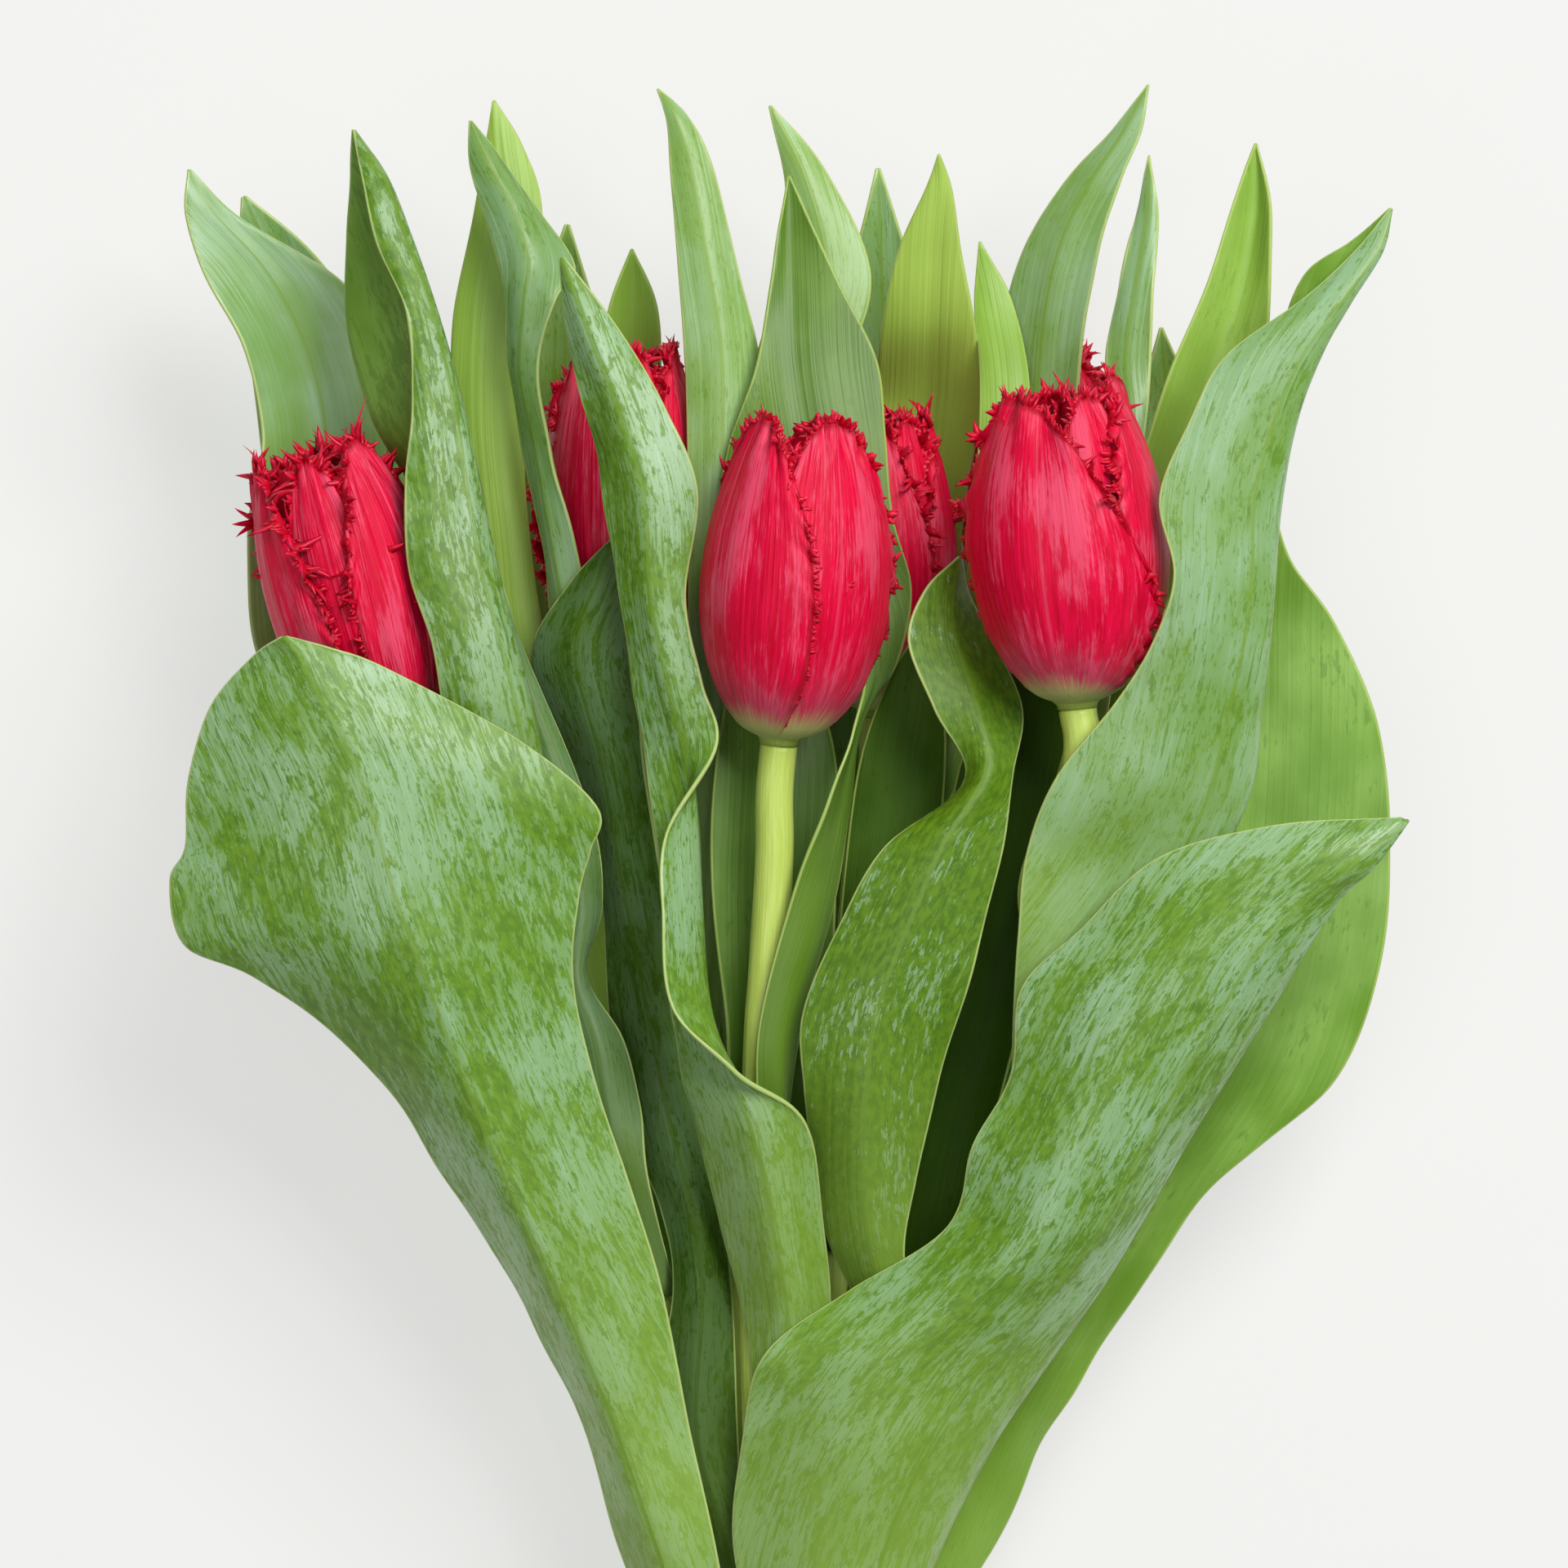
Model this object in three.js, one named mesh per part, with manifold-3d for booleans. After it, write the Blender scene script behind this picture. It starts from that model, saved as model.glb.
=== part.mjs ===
// A tied bunch of seven fringed tulips, laid down on its back.
//
// Shapes are drawn in the bunch's own frame, in millimetres: u to the right, v along the stems toward the
// flowers, w toward the side that faces up. The last group tips that frame so that the cut stem ends and the
// broad back leaves lie on the plane z = 0.
import * as THREE from "three";
import { mergeVertices } from "three/addons/utils/BufferGeometryUtils.js";
import Module from "manifold-3d";

const wasm = await Module();
wasm.setup();

// Driving dimensions.
const TIP_ANGLE = THREE.MathUtils.degToRad(5.5); // the flowers' end of the bunch is thicker than its foot
const LIFT = 39.45; // height of the bunch frame's origin above the surface
const FOOTPRINT_CENTRE = [1.5, 83.2]; // middle of the footprint before it is centred

const STEM_RADIUS_FOOT = 3.9;
const STEM_RADIUS_TOP = 3.5;
const STEM_SIDES = 8;
const STEM_STEPS = 9;
const STRAIGHT_NECK = 9; // the last stretch of a stem, in line with its bloom

const LEAF_HALF_THICKNESS = 0.45;
const LEAF_EDGE_HALF_THICKNESS = 0.3;
const LEAF_ACROSS = 4; // strips across a leaf
const CLASP_RADIUS = STEM_RADIUS_FOOT + 1.0; // middle of the leaf's wall where it clasps its stem
const CLASP_SPREAD = 50; // degrees to each side of the leaf's midrib

const BLOOM_HEIGHT = 60; // of the typical bloom, without its fringe
const PETAL_HALF_THICKNESS = 0.38;
const PETAL_TURN_LIFT = 0.9; // how far one margin of a petal stands out, and the other lies in
const SEAT_GAP = 0.3; // between pieces that touch
const FINEST_DETAIL = 0.02; // smaller slivers are smoothed away where solids are joined

const TIE_PLACE = [3, -55, -15];
const TIE_INNER_RADIUS = 13.0;
const TIE_THICKNESS = 1.8;
const TIE_WIDTH = 5;
const TIE_CROWN = 0.3;
const TIE_SIDES = 16;

const STEM_GREEN = 0xbecd64;
const LEAF_GREEN = 0x86ab7c;
const PETAL_CRIMSON = 0xc60f34;
const POLLEN_GREEN = 0xa9b565;
const TIE_GREEN = 0x5f7f52;

// Each tulip: the stem's centre line from its cut end up, the bloom's top, its girth, height and mouth
// against the typical bloom, and the turn of its three outer petals, in degrees from the side that faces up.
// Where its petals are uneven, they are given one by one, outer and inner: the angle, half the angle that the
// petal spans, its height against its ring's, and how far its top slopes down from left to right.
const TULIPS = {
  a: {
    stem: [[-8.8, -108, -15], [-5.8, -72, -15], [-6.2, -40, -14.8], [-8.5, -18, -14.2], [-16, 20, -10],
      [-30, 65, -5], [-48, 105, -1], [-69.5, 146, 2]],
    top: [-87.5, 207, 4], girth: 0.84, height: 1.0, mouth: 1.3, turn: -70, outerHalfAngle: 52,
  },
  b: {
    stem: [[-2.8, -110, -25.45], [-1.3, -72, -22.5], [-1.5, -40, -22.3], [-4, -10, -21], [-10, 40, -20],
      [-18, 90, -18], [-26, 135, -17], [-31, 163, -17]],
    top: [-30, 226, -18], girth: 0.82, height: 1.0, mouth: 1.2, turn: -40, outerHalfAngle: 62,
  },
  c: {
    stem: [[-2.6, -106, -5.6], [-1.3, -72, -7.5], [-1.6, -40, -7.3], [-3, 0, -5], [-4.6, 50, 2],
      [-4, 92, 8], [-3, 110, 10], [-1.8, 130, 12], [-1, 151, 14.3]],
    top: [4.6, 215, 23], girth: 1.0, height: 1.0, mouth: 1,
    outer: [[-57, 72, 0.985, -0.05], [30, 66, 1, 0], [165, 66, 0.95, 0]],
    inner: [[-12, 52, 0.9, 0], [95, 52, 0.95, 0], [-125, 52, 0.95, 0]],
  },
  d: {
    stem: [[3, -109, -15], [3, -72, -15], [3.2, -40, -15], [5, 0, -14], [8, 50, -15], [12, 100, -18],
      [15, 135, -20.5], [17.3, 156, -21.5]],
    top: [18.3, 214, -23], girth: 0.82, height: 0.92, mouth: 1, turn: -20, outerHalfAngle: 62,
  },
  e: {
    stem: [[8.8, -107, -5.4], [7.3, -72, -7.5], [7.5, -40, -7.2], [9.8, 0, -5], [22, 36, -2], [36, 65, 3],
      [45.5, 92, 8], [50.5, 124, 14.5], [53.6, 157.5, 20]],
    top: [48.6, 220.5, 24], girth: 1.08, height: 0.98, mouth: 1.05,
    outer: [[-15, 78, 0.92, 0.2], [98, 66, 1, 0.08], [-180, 60, 0.95, 0]],
    inner: [[-70, 52, 0.95, 0], [38, 52, 0.97, 0], [160, 52, 0.95, 0]],
  },
  f: {
    stem: [[15, -109, -15], [11.6, -72, -15], [11.9, -40, -15], [15, 0, -15], [22, 50, -19],
      [32, 100, -27], [42, 145, -35], [47.5, 169, -41]],
    top: [48, 229, -44], girth: 0.84, height: 0.95, mouth: 1, turn: 16, outerHalfAngle: 63,
  },
  g: {
    stem: [[8.8, -110, -25.45], [7.3, -72, -22.5], [7.3, -40, -22.5], [5, 0, -22], [1, 50, -25],
      [-3, 100, -31], [-6, 140, -38], [-7, 163, -41.5]],
    top: [-8, 223, -44.5], girth: 0.83, height: 0.95, mouth: 1, turn: 150, outerHalfAngle: 62,
  },
};

// The blades of the leaves. Each clasps a stem at a height v, with its midrib toward an angle round the
// stem (0 right, 90 up, 180 left, 270 down). A blade given by rows has two to four points in each row, from
// its left margin to its right one, and a last row of one point, its tip. A blade given by its spine has the
// midrib's points, each with the half width there and how far both margins curl toward the upper side.
const LEAVES = [
  { name: "leaf_a_broad_front", stem: "a", at: -38, toward: 130, rows: [
    [[-29, 0, -4], [-22, 0, 4], [-12, 1, 3]],
    [[-37, 27, 0], [-31, 27, 9], [-17.6, 27, 7]],
    [[-49, 51, 4], [-41.5, 52, 15], [-22.5, 52, 11]],
    [[-62.6, 73.3, 9], [-51.5, 74, 21], [-29, 73, 14]],
    [[-77.6, 94.3, 14], [-60, 95, 26], [-36, 94.5, 17]],
    [[-96.5, 109, 18], [-66, 111, 30], [-38.5, 111, 20]],
    [[-109.3, 114.5, 20], [-70.5, 123, 31.5], [-37.4, 124, 21]],
    [[-112, 126.5, 22], [-73.5, 134, 32.5], [-35.2, 132, 22.5]],
    [[-109.1, 133, 22], [-76.5, 144, 33], [-34.3, 140, 24]],
    [[-108.3, 145, 23], [-80.5, 153, 33], [-49, 152.5, 27]],
    [[-104.5, 158, 25], [-85, 161, 32], [-72, 164.8, 29]],
    [[-97, 167, 27], [-88, 167.3, 31], [-82, 168.5, 30]],
    [[-91, 171, 31]],
  ] },
  { name: "leaf_e_broad_front", stem: "e", at: -36, toward: 75, rows: [
    [[-8.6, 0, 2], [8, 0, 8], [24.5, 0, 4], [27.5, 1, -3]],
    [[-7.5, 24, 7], [14, 21, 15], [34, 20, 8], [38, 22, -3]],
    [[-3.5, 39.5, 12], [22, 37, 19], [46.5, 38.5, 11], [50, 42, 0]],
    [[12, 51.5, 14], [34, 48, 22], [56, 51, 14], [58.5, 56, 3]],
    [[29.5, 62.5, 18], [46, 60, 26], [64.5, 64, 17], [66, 70, 6]],
    [[34.5, 78, 21], [54, 76, 29], [73, 79, 20], [73.5, 86, 9]],
    [[41.6, 92, 23], [61, 91, 31], [81, 92, 24], [80, 99, 12]],
    [[43.5, 107, 24], [67, 104, 33], [88.5, 104, 27], [86, 111, 16]],
    [[54, 117.5, 26], [75, 115, 34], [95, 115, 30], [92, 121, 20]],
    [[68, 130.5, 29], [86, 124, 34], [101, 123.5, 31], [98, 128, 24]],
    [[88, 136.2, 31], [98, 131, 34], [107, 129, 32], [104, 132, 28]],
    [[114, 138, 31]],
  ] },
  { name: "leaf_c_long_front", stem: "c", at: 2, toward: 95, rows: [
    [[-6, 37, 4], [1, 38, 8], [8, 39, 4]],
    [[-11.5, 63, 8], [-2, 63, 17], [7.2, 63, 11]],
    [[-16.5, 83, 12], [-6, 82, 22], [3.4, 83, 20]],
    [[-18.5, 91, 13], [-10, 92, 21], [-9, 91.7, 27]],
    [[-20.5, 104, 13], [-13.4, 105, 19], [-20.3, 102.5, 28]],
    [[-22, 120, 13], [-14.7, 122, 18], [-22, 120, 27]],
    [[-23.4, 135, 13], [-15.6, 139, 17.5], [-21.3, 135, 24]],
    [[-25.4, 149.6, 14], [-18, 151, 18], [-12.3, 151, 21]],
    [[-27.7, 162, 15], [-21, 163, 20], [-15, 162.6, 20]],
    [[-30, 178, 15], [-24, 178, 20], [-18, 178, 20]],
    [[-33, 197, 14], [-25.5, 197, 20], [-15.8, 197, 18]],
    [[-36, 212, 13], [-30, 212, 18], [-21.5, 212, 17]],
    [[-39.5, 225, 12], [-35, 225, 16], [-28.7, 225, 15]],
    [[-41.2, 241.6, 12]],
  ] },
  { name: "leaf_c_behind_bloom", stem: "c", at: 84, toward: 50, rows: [
    [[-4.5, 100, 14.5], [-0.5, 100, 14.5], [3.2, 100, 11.5]],
    [[0.5, 120, 17], [5, 120, 15.5], [8.5, 120, 11]],
    [[7.5, 140, 19], [10, 140, 14], [12, 140, 8]],
    [[12.5, 153, 16], [13.5, 154, 9], [14.6, 155, 2]],
    [[14.8, 166, 6], [17.5, 166, 3], [20.3, 166, 0]],
    [[6, 181, -1], [15, 181, 0], [23.4, 180, -2]],
    [[-10, 194, -2], [6, 195, -1], [19.8, 193.5, -4]],
    [[-10.5, 205, -4], [4, 208, -3], [18.6, 208, -5]],
    [[-5.3, 220, -6], [2, 222, -6], [17, 222, -7]],
    [[-2.5, 236, -8], [1.5, 236, -9], [10.2, 236, -8]],
    [[-0.6, 247, -9], [1.2, 248, -10], [5.2, 247, -9]],
    [[0.8, 256.6, -11]],
  ] },
  { name: "leaf_c_dark_left", stem: "c", at: -10, toward: 165, rows: [
    [[-14, 4, -4], [-10.5, 4, -1.5], [-7.5, 4, -1.5]],
    [[-24, 25, -1.5], [-16, 25, 1.5], [-8.5, 25, 0]],
    [[-20.5, 50, 0.5], [-15, 50, 3], [-9.5, 50, 1]],
    [[-22.5, 66, -0.5], [-17, 66, 3], [-11.5, 66, 0]],
    [[-30.5, 87, -1], [-22, 87, 4], [-14.5, 87, 0.5]],
    [[-34, 125, -4], [-29, 125, 2], [-22, 125, 5]],
    [[-40, 148, -5], [-33, 148, 3], [-25.5, 148, 7]],
    [[-46.5, 167, -1], [-38, 168, 5], [-27, 168, 8]],
    [[-39.5, 180.5, 3], [-34, 181, 6.5], [-28, 181, 7]],
    [[-31, 189.5, 6]],
  ] },
  { name: "leaf_c_behind_stem", stem: "c", at: 54, toward: 262, rows: [
    [[-10, 75, -3], [-5, 75, -5], [3, 75, -4]],
    [[-10.6, 100, 1], [-3, 100, -2], [8, 100, -1]],
    [[-13.3, 125, 3], [-3, 125, 0], [9.5, 125, -1]],
    [[-12.5, 148, 3], [-2, 148, 0], [9.5, 148, -2]],
    [[-9, 166, -1], [-2.5, 166, -3], [4, 166, -4]],
    [[-4, 179, -5]],
  ] },
  { name: "leaf_e_wavy_left", stem: "e", at: 40, toward: 120, rows: [
    [[9, 58, 6], [16, 58, 10.5], [22, 57, 9]],
    [[5.5, 72, 9], [14.5, 72, 15], [24, 71, 11]],
    [[3.8, 88.8, 15], [15, 88, 19], [27.8, 88, 14]],
    [[3.4, 102, 18], [17, 103, 21], [32.3, 103, 17]],
    [[10, 118, 19], [23, 119, 22], [36.4, 118, 19]],
    [[18.3, 132, 19], [29, 133, 22], [39.8, 132, 18]],
    [[32.8, 145, 17], [37, 146, 20], [42, 146, 17]],
    [[27.5, 157.5, 17], [35, 158, 16], [43.5, 158, 11]],
    [[22.6, 170, 15], [31, 170, 12], [37.5, 171, 7]],
    [[26, 179.5, 13], [30.5, 179, 10], [34, 179, 6]],
    [[32.3, 186, 8]],
  ] },
  { name: "leaf_e_wavy_right", stem: "e", at: 84, toward: 60, rows: [
    [[42, 103, 15], [48, 101, 16.5], [53, 99, 14], [54, 103, 8.5]],
    [[42.8, 117, 20], [54, 115, 19], [64, 113, 15], [60, 119, 8]],
    [[44.2, 131, 23], [61, 129, 22.5], [76, 126, 19], [71, 131, 10]],
    [[49.5, 145, 26.5], [67, 143, 27.5], [84.3, 142, 22], [79, 145, 12]],
    [[60.5, 159, 29], [73, 158, 30], [86.5, 158, 25], [82, 160, 15]],
    [[67.2, 170, 32], [77, 170, 32], [88, 170, 27], [84, 172, 17]],
    [[70.8, 182, 34], [79, 182, 33], [89, 182, 28], [86, 184, 18]],
    [[68.2, 196, 34], [79, 196, 33], [90, 196, 29], [88, 198, 19]],
    [[73.8, 210, 32], [83, 210, 32], [92.8, 209.5, 29], [89, 213, 20]],
    [[80.5, 222, 30], [88.5, 221.5, 31], [97.3, 221.5, 29], [91, 226, 21]],
    [[95, 232.5, 28], [99, 232.5, 29.5], [103.3, 233, 28], [95, 237, 22]],
    [[104.5, 241.5, 27], [106.5, 241.5, 27.5], [108.5, 241.5, 27], [103, 242.5, 23]],
    [[110.8, 249.3, 26]],
  ] },
  { name: "leaf_e_tall_folded", stem: "e", at: 108, toward: 300, rows: [
    [[43, 125, 4], [47.5, 125, 4], [52, 125, 5]],
    [[50, 145, -1], [55, 145, 0], [60, 145, 1]],
    [[55, 165, -3], [60.5, 165, -2], [65.5, 165, -2]],
    [[60, 185, -3], [67, 185, -3], [74, 185, -4]],
    [[66, 205, 0], [74, 205, -3], [83, 205, -2]],
    [[71, 220, 2], [79, 220, -2], [88, 219, 1]],
    [[77.8, 236, 2], [84, 236, -1], [89.4, 236, 2]],
    [[82.2, 250, 1], [86.5, 250, -1], [89.1, 250, 2]],
    [[86.7, 262.2, 0]],
  ] },
  { name: "leaf_e_ribbon", stem: "e", at: 136, toward: 290, rows: [
    [[52, 155, 9], [55.5, 155, 8], [59, 155, 9]],
    [[53, 170, 2.5], [57, 170, 1.5], [61, 170, 2.5]],
    [[54, 190, 2.2], [58.5, 190, 1.2], [63, 190, 1.8]],
    [[61, 208, 1], [63.5, 208, 1.5], [66, 208, 2]],
    [[59.2, 222, -2], [63, 222, -1], [67.4, 222, 0]],
    [[61.8, 236, -3], [65, 236, -2], [68, 236, -1]],
    [[65, 249, -5], [67, 249, -4], [68.7, 249, -3.5]],
    [[67.2, 260.1, -6]],
  ] },
  { name: "leaf_a_tall", stem: "a", at: 97, toward: 60, rows: [
    [[-51, 116, 7], [-46, 115, 9], [-40.5, 114, 6], [-42, 116, 0]],
    [[-58, 136, 12], [-51, 135, 14], [-43, 134, 10], [-47, 138, 2]],
    [[-61.5, 153, 16], [-53, 152, 18], [-45, 152, 13], [-51, 156, 3]],
    [[-64, 169, 18], [-56.5, 168, 19], [-48.7, 168, 14], [-56, 171, 4]],
    [[-68.5, 183, 18], [-61, 183, 18], [-52.6, 184, 13], [-60.5, 187, 4]],
    [[-69.2, 199, 15], [-63, 199, 15], [-56.2, 200, 11], [-68, 198, -3]],
    [[-68, 213, 12], [-64.5, 213, 12], [-59.7, 214, 8], [-76.5, 213, -4]],
    [[-69, 230, 10], [-67, 230, 10], [-64.6, 230, 6], [-80.5, 229, -5]],
    [[-74.6, 243, 7], [-72, 243.5, 7], [-69, 244, 4], [-80.3, 245, -4]],
    [[-77.2, 254.5, 4], [-75.5, 255, 4], [-73.2, 255, 1], [-79.7, 256, -3]],
    [[-79.3, 264.7, -1]],
  ] },
  { name: "leaf_a_slim_dark", stem: "a", at: 50, toward: 60, rows: [
    [[-36, 72, 4], [-30, 72, 8], [-25, 72, 7]],
    [[-38.5, 85, 6], [-32.5, 85, 10], [-26.3, 85, 8.5]],
    [[-39, 97, 8], [-34.5, 97, 10], [-29.5, 97, 8]],
    [[-40, 109, 7], [-38, 109, 8], [-36.3, 109, 6]],
    [[-39.5, 122, 6], [-36.5, 122, 6], [-33.4, 122, 3.5]],
    [[-42, 140, 5], [-39, 140, 5], [-36, 140, 3]],
    [[-51, 170, 4], [-49.8, 170, 4], [-48.6, 170, 3]],
    [[-51.8, 181, 3]],
  ] },
  { name: "leaf_a_fan", stem: "a", at: 72, toward: 205, rows: [
    [[-52, 95, -13], [-45.5, 95, -14], [-39, 95, -12]],
    [[-71, 120, -18], [-61, 120, -20], [-51, 120, -18]],
    [[-87, 145, -19], [-74, 145, -23], [-61, 145, -20]],
    [[-97, 168, -16], [-82, 168, -23], [-67, 168, -21]],
    [[-99, 190, -14], [-85, 190, -23], [-69, 190, -21]],
    [[-96, 209, -13], [-85, 210, -21], [-70, 211, -20]],
    [[-99.8, 224, -12], [-89, 226, -19], [-73, 226, -19]],
    [[-106.8, 238, -12], [-96, 239, -17], [-82.5, 237.5, -18]],
    [[-110.2, 249.5, -13], [-106, 250, -15], [-100.5, 248.6, -16]],
    [[-110, 257.8, -15]],
  ] },
  { name: "leaf_a_under", stem: "a", at: -12, toward: 205, spine: [
    [-22, 12, -25, 6, 2], [-35, 50, -35, 11, 3], [-51, 90, -43, 14, 3], [-64, 125, -48, 16, 4],
    [-73, 155, -51, 17, 5], [-80, 185, -48, 15, 5], [-85, 215, -39, 13, 3], [-93.5, 238, -31, 8, 1],
  ], tip: [-100.5, 253.6, -27] },
  { name: "leaf_b_rolled", stem: "b", at: 112, toward: 120, rows: [
    [[-33, 135, -11], [-29.5, 135, -9.5], [-25, 135, -9]],
    [[-40, 158, -10], [-36, 158, -8.5], [-31, 158, -9]],
    [[-43, 176, -5], [-40, 176, -2.5], [-36, 177, -1.5]],
    [[-44.5, 190, -4], [-42.5, 190, -1], [-39, 191, 1]],
    [[-48, 205, -6], [-45, 205, -2.5], [-42.7, 205, 0]],
    [[-50.5, 220, -5], [-48, 220, -2], [-45.3, 220, 0.5]],
    [[-51.2, 233, -3], [-47.5, 233, 0], [-42, 233, -1]],
    [[-52.5, 240, -3], [-47, 241, 0], [-38.5, 239, -4]],
    [[-55.2, 249, -4], [-50, 250, -2], [-44.5, 248.5, -5]],
    [[-57.8, 258, -5], [-54.5, 258.5, -4], [-51.6, 258.5, -6]],
    [[-57.9, 266.5, -6]],
  ] },
  { name: "leaf_b_tall_middle", stem: "b", at: 90, toward: 45, rows: [
    [[-17, 115, -12], [-13.5, 115, -11], [-10, 115, -12]],
    [[-17, 145, -9], [-12, 145, -8], [-6.5, 145, -9]],
    [[-17.5, 175, -8], [-12, 175, -7], [-5, 175, -9]],
    [[-17.6, 200, -8], [-11.5, 200, -7.5], [-4, 200, -9]],
    [[-18.2, 222, -9], [-11.5, 222, -8.5], [-4.6, 222, -10.5]],
    [[-19.5, 240, -10], [-14, 240, -9.5], [-8.8, 240, -11]],
    [[-20.8, 256, -12], [-16.8, 256, -11.5], [-13, 257, -12.5]],
    [[-21.5, 266, -13], [-19.5, 266, -12.5], [-17.5, 266.5, -13.5]],
    [[-23.5, 272.6, -15]],
  ] },
  { name: "leaf_b_pale", stem: "b", at: 58, toward: 165, rows: [
    [[-29, 85, -18], [-25.5, 85, -16], [-22.8, 85, -15]],
    [[-38, 110, -18], [-33, 110, -15], [-28, 110, -14]],
    [[-49, 140, -18], [-42.5, 140, -15], [-36, 140, -14]],
    [[-56, 168, -16], [-50, 168, -13.5], [-43.5, 168, -14]],
    [[-58, 190, -15], [-52.5, 190, -13], [-47, 190, -14]],
    [[-61, 210, -15], [-54.5, 210, -13], [-48, 210, -14]],
    [[-61, 230, -15], [-54, 230, -13], [-46, 230, -14]],
    [[-57, 250, -16], [-51.5, 250, -14.5], [-44.8, 250, -16]],
    [[-55.2, 262, -17], [-52.8, 262, -16], [-48.5, 262, -17]],
    [[-53.7, 270.7, -18]],
  ] },
  { name: "leaf_b_short", stem: "b", at: 103, toward: 255, spine: [
    [-25, 130, -28, 5, 1], [-30, 160, -35, 6, 1], [-30.5, 190, -36, 6, 1], [-29, 215, -33, 6, 1],
    [-28, 232, -30, 4.5, 1],
  ], tip: [-28.2, 243.5, -28] },
  { name: "leaf_b_under", stem: "b", at: -25, toward: 235, spine: [
    [-7, 5, -34, 7, 2], [-14, 45, -41, 11, 3], [-24, 90, -47, 14, 3], [-33, 130, -52, 17, 3],
    [-39, 165, -57, 17, 3], [-41, 195, -60, 15, 3], [-41, 222, -52, 9, 2],
  ], tip: [-40.3, 249.3, -38] },
  { name: "leaf_d_bright", stem: "d", at: 94, toward: 285, rows: [
    [[17, 120, -29], [21, 120, -30], [26, 120, -28]],
    [[17, 150, -37], [24, 150, -37], [30.5, 150, -34]],
    [[15, 175, -41], [23.5, 175, -41], [31.5, 175, -37]],
    [[15.5, 198, -41.5], [25, 198, -41], [34, 198, -36]],
    [[17, 214, -39], [27, 214, -37], [36.6, 214, -31]],
    [[18.2, 229, -27], [27.5, 229, -24], [35.2, 229, -21]],
    [[21.4, 243, -21], [28, 243, -19], [32.6, 243, -18]],
    [[26.2, 254, -17], [28.8, 254, -16], [30.9, 254, -16]],
    [[28.6, 260.5, -15]],
  ] },
  { name: "leaf_d_short", stem: "d", at: 108, toward: 35, spine: [
    [21, 128, -12, 3, -1], [30, 150, -10, 4, -1], [37, 175, -11, 4.5, -1], [40, 200, -13, 4.5, -1],
    [40.8, 218, -18, 4.5, -1], [38.7, 233, -24, 3.4, -1],
  ], tip: [36.2, 244.8, -25] },
  { name: "leaf_d_dark", stem: "d", at: 58, toward: 70, spine: [
    [13, 85, -7, 5, -1], [18, 115, -4, 8, -1], [21.5, 145, -3.5, 8, -1], [24, 162, -4.5, 5, -1],
  ], tip: [25, 173, -5] },
  { name: "leaf_f_broad_right", stem: "f", at: -28, toward: 350, rows: [
    [[22.5, 0, -8], [30, 0, -13], [37.5, 1, -19]],
    [[30, 24, -6], [39, 23, -10], [48, 23, -16]],
    [[42, 50, -4], [52, 48, -7], [63, 47, -12]],
    [[52, 73, -2], [65, 71, -5], [79, 70, -9]],
    [[58, 95, 0], [78, 92, -4], [101, 89, -8]],
    [[62, 115, 2], [84, 112, -4], [109.5, 110, -7]],
    [[64, 138, 3], [87, 135, -5], [111.5, 133, -7]],
    [[67, 158, 3], [88, 156, -5], [109.2, 155, -6]],
    [[72, 173, 0], [88, 174, -5], [101.3, 173.5, -5]],
    [[81, 185, -2], [88.5, 185, -4], [93.5, 184.5, -4]],
    [[90.2, 193.5, -3]],
  ] },
  { name: "leaf_f_tall_curved", stem: "f", at: 116, toward: 90, rows: [
    [[34, 140, -27], [39.5, 140, -25], [44, 140, -26]],
    [[36, 165, -24], [43, 165, -22], [49.5, 165, -22]],
    [[37.5, 190, -24], [45, 190, -21], [52.5, 190, -20]],
    [[39, 212, -26], [47, 212, -22], [54, 212, -18]],
    [[40.8, 230, -28], [48.5, 230, -21], [55.7, 230, -17]],
    [[44.8, 244, -24], [51.5, 244, -20], [58.5, 244, -17]],
    [[52.5, 256, -21], [57, 255.5, -19], [62.3, 255.5, -17]],
    [[61, 265, -19], [63, 264.5, -18], [65.9, 264.5, -17]],
    [[67.5, 273.6, -18]],
  ] },
  { name: "leaf_f_dark", stem: "f", at: 18, toward: 85, spine: [
    [22, 45, -10, 7, -1], [30, 80, -8, 8, -1], [38, 115, -6, 9, -1], [43, 143, -4, 11.5, -1],
    [46, 166, -6, 6, -1],
  ], tip: [46, 184, -6] },
  { name: "leaf_f_under", stem: "f", at: -15, toward: 305, spine: [
    [20, 12, -29, 7, 2], [34, 50, -39, 11, 3], [48, 95, -47, 15, 3], [59, 135, -53, 16, 3],
    [67, 165, -57, 14, 3], [72, 192, -60, 10, 2], [71.5, 213, -52, 6, 1],
  ], tip: [70.2, 229.7, -42] },
  { name: "leaf_g_middle", stem: "g", at: 93, toward: 90, spine: [
    [-3.5, 125, -24, 5, -1], [-5, 160, -20, 6, -1], [-5, 190, -18, 6, -1], [-2, 206, -15, 6, -1],
    [3, 222, -16, 8, -1], [8, 238, -19, 8, -1], [4, 256, -21, 4, -1],
  ], tip: [-2.9, 270.1, -23] },
  { name: "leaf_g_under", stem: "g", at: -30, toward: 275, spine: [
    [8, 0, -33, 6, 2], [11, 45, -40, 8, 3], [14, 90, -46, 10, 3], [17.5, 130, -51, 11, 3],
    [19, 165, -55, 12, 3], [19, 200, -57, 11, 3], [18.5, 230, -50, 8, 2],
  ], tip: [17.5, 260, -42] },
];

// Height of a point of the bunch frame above the surface that the bunch lies on.
function heightAboveSurface(p) {
  return p.y * Math.sin(TIP_ANGLE) + p.z * Math.cos(TIP_ANGLE) + LIFT;
}

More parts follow.
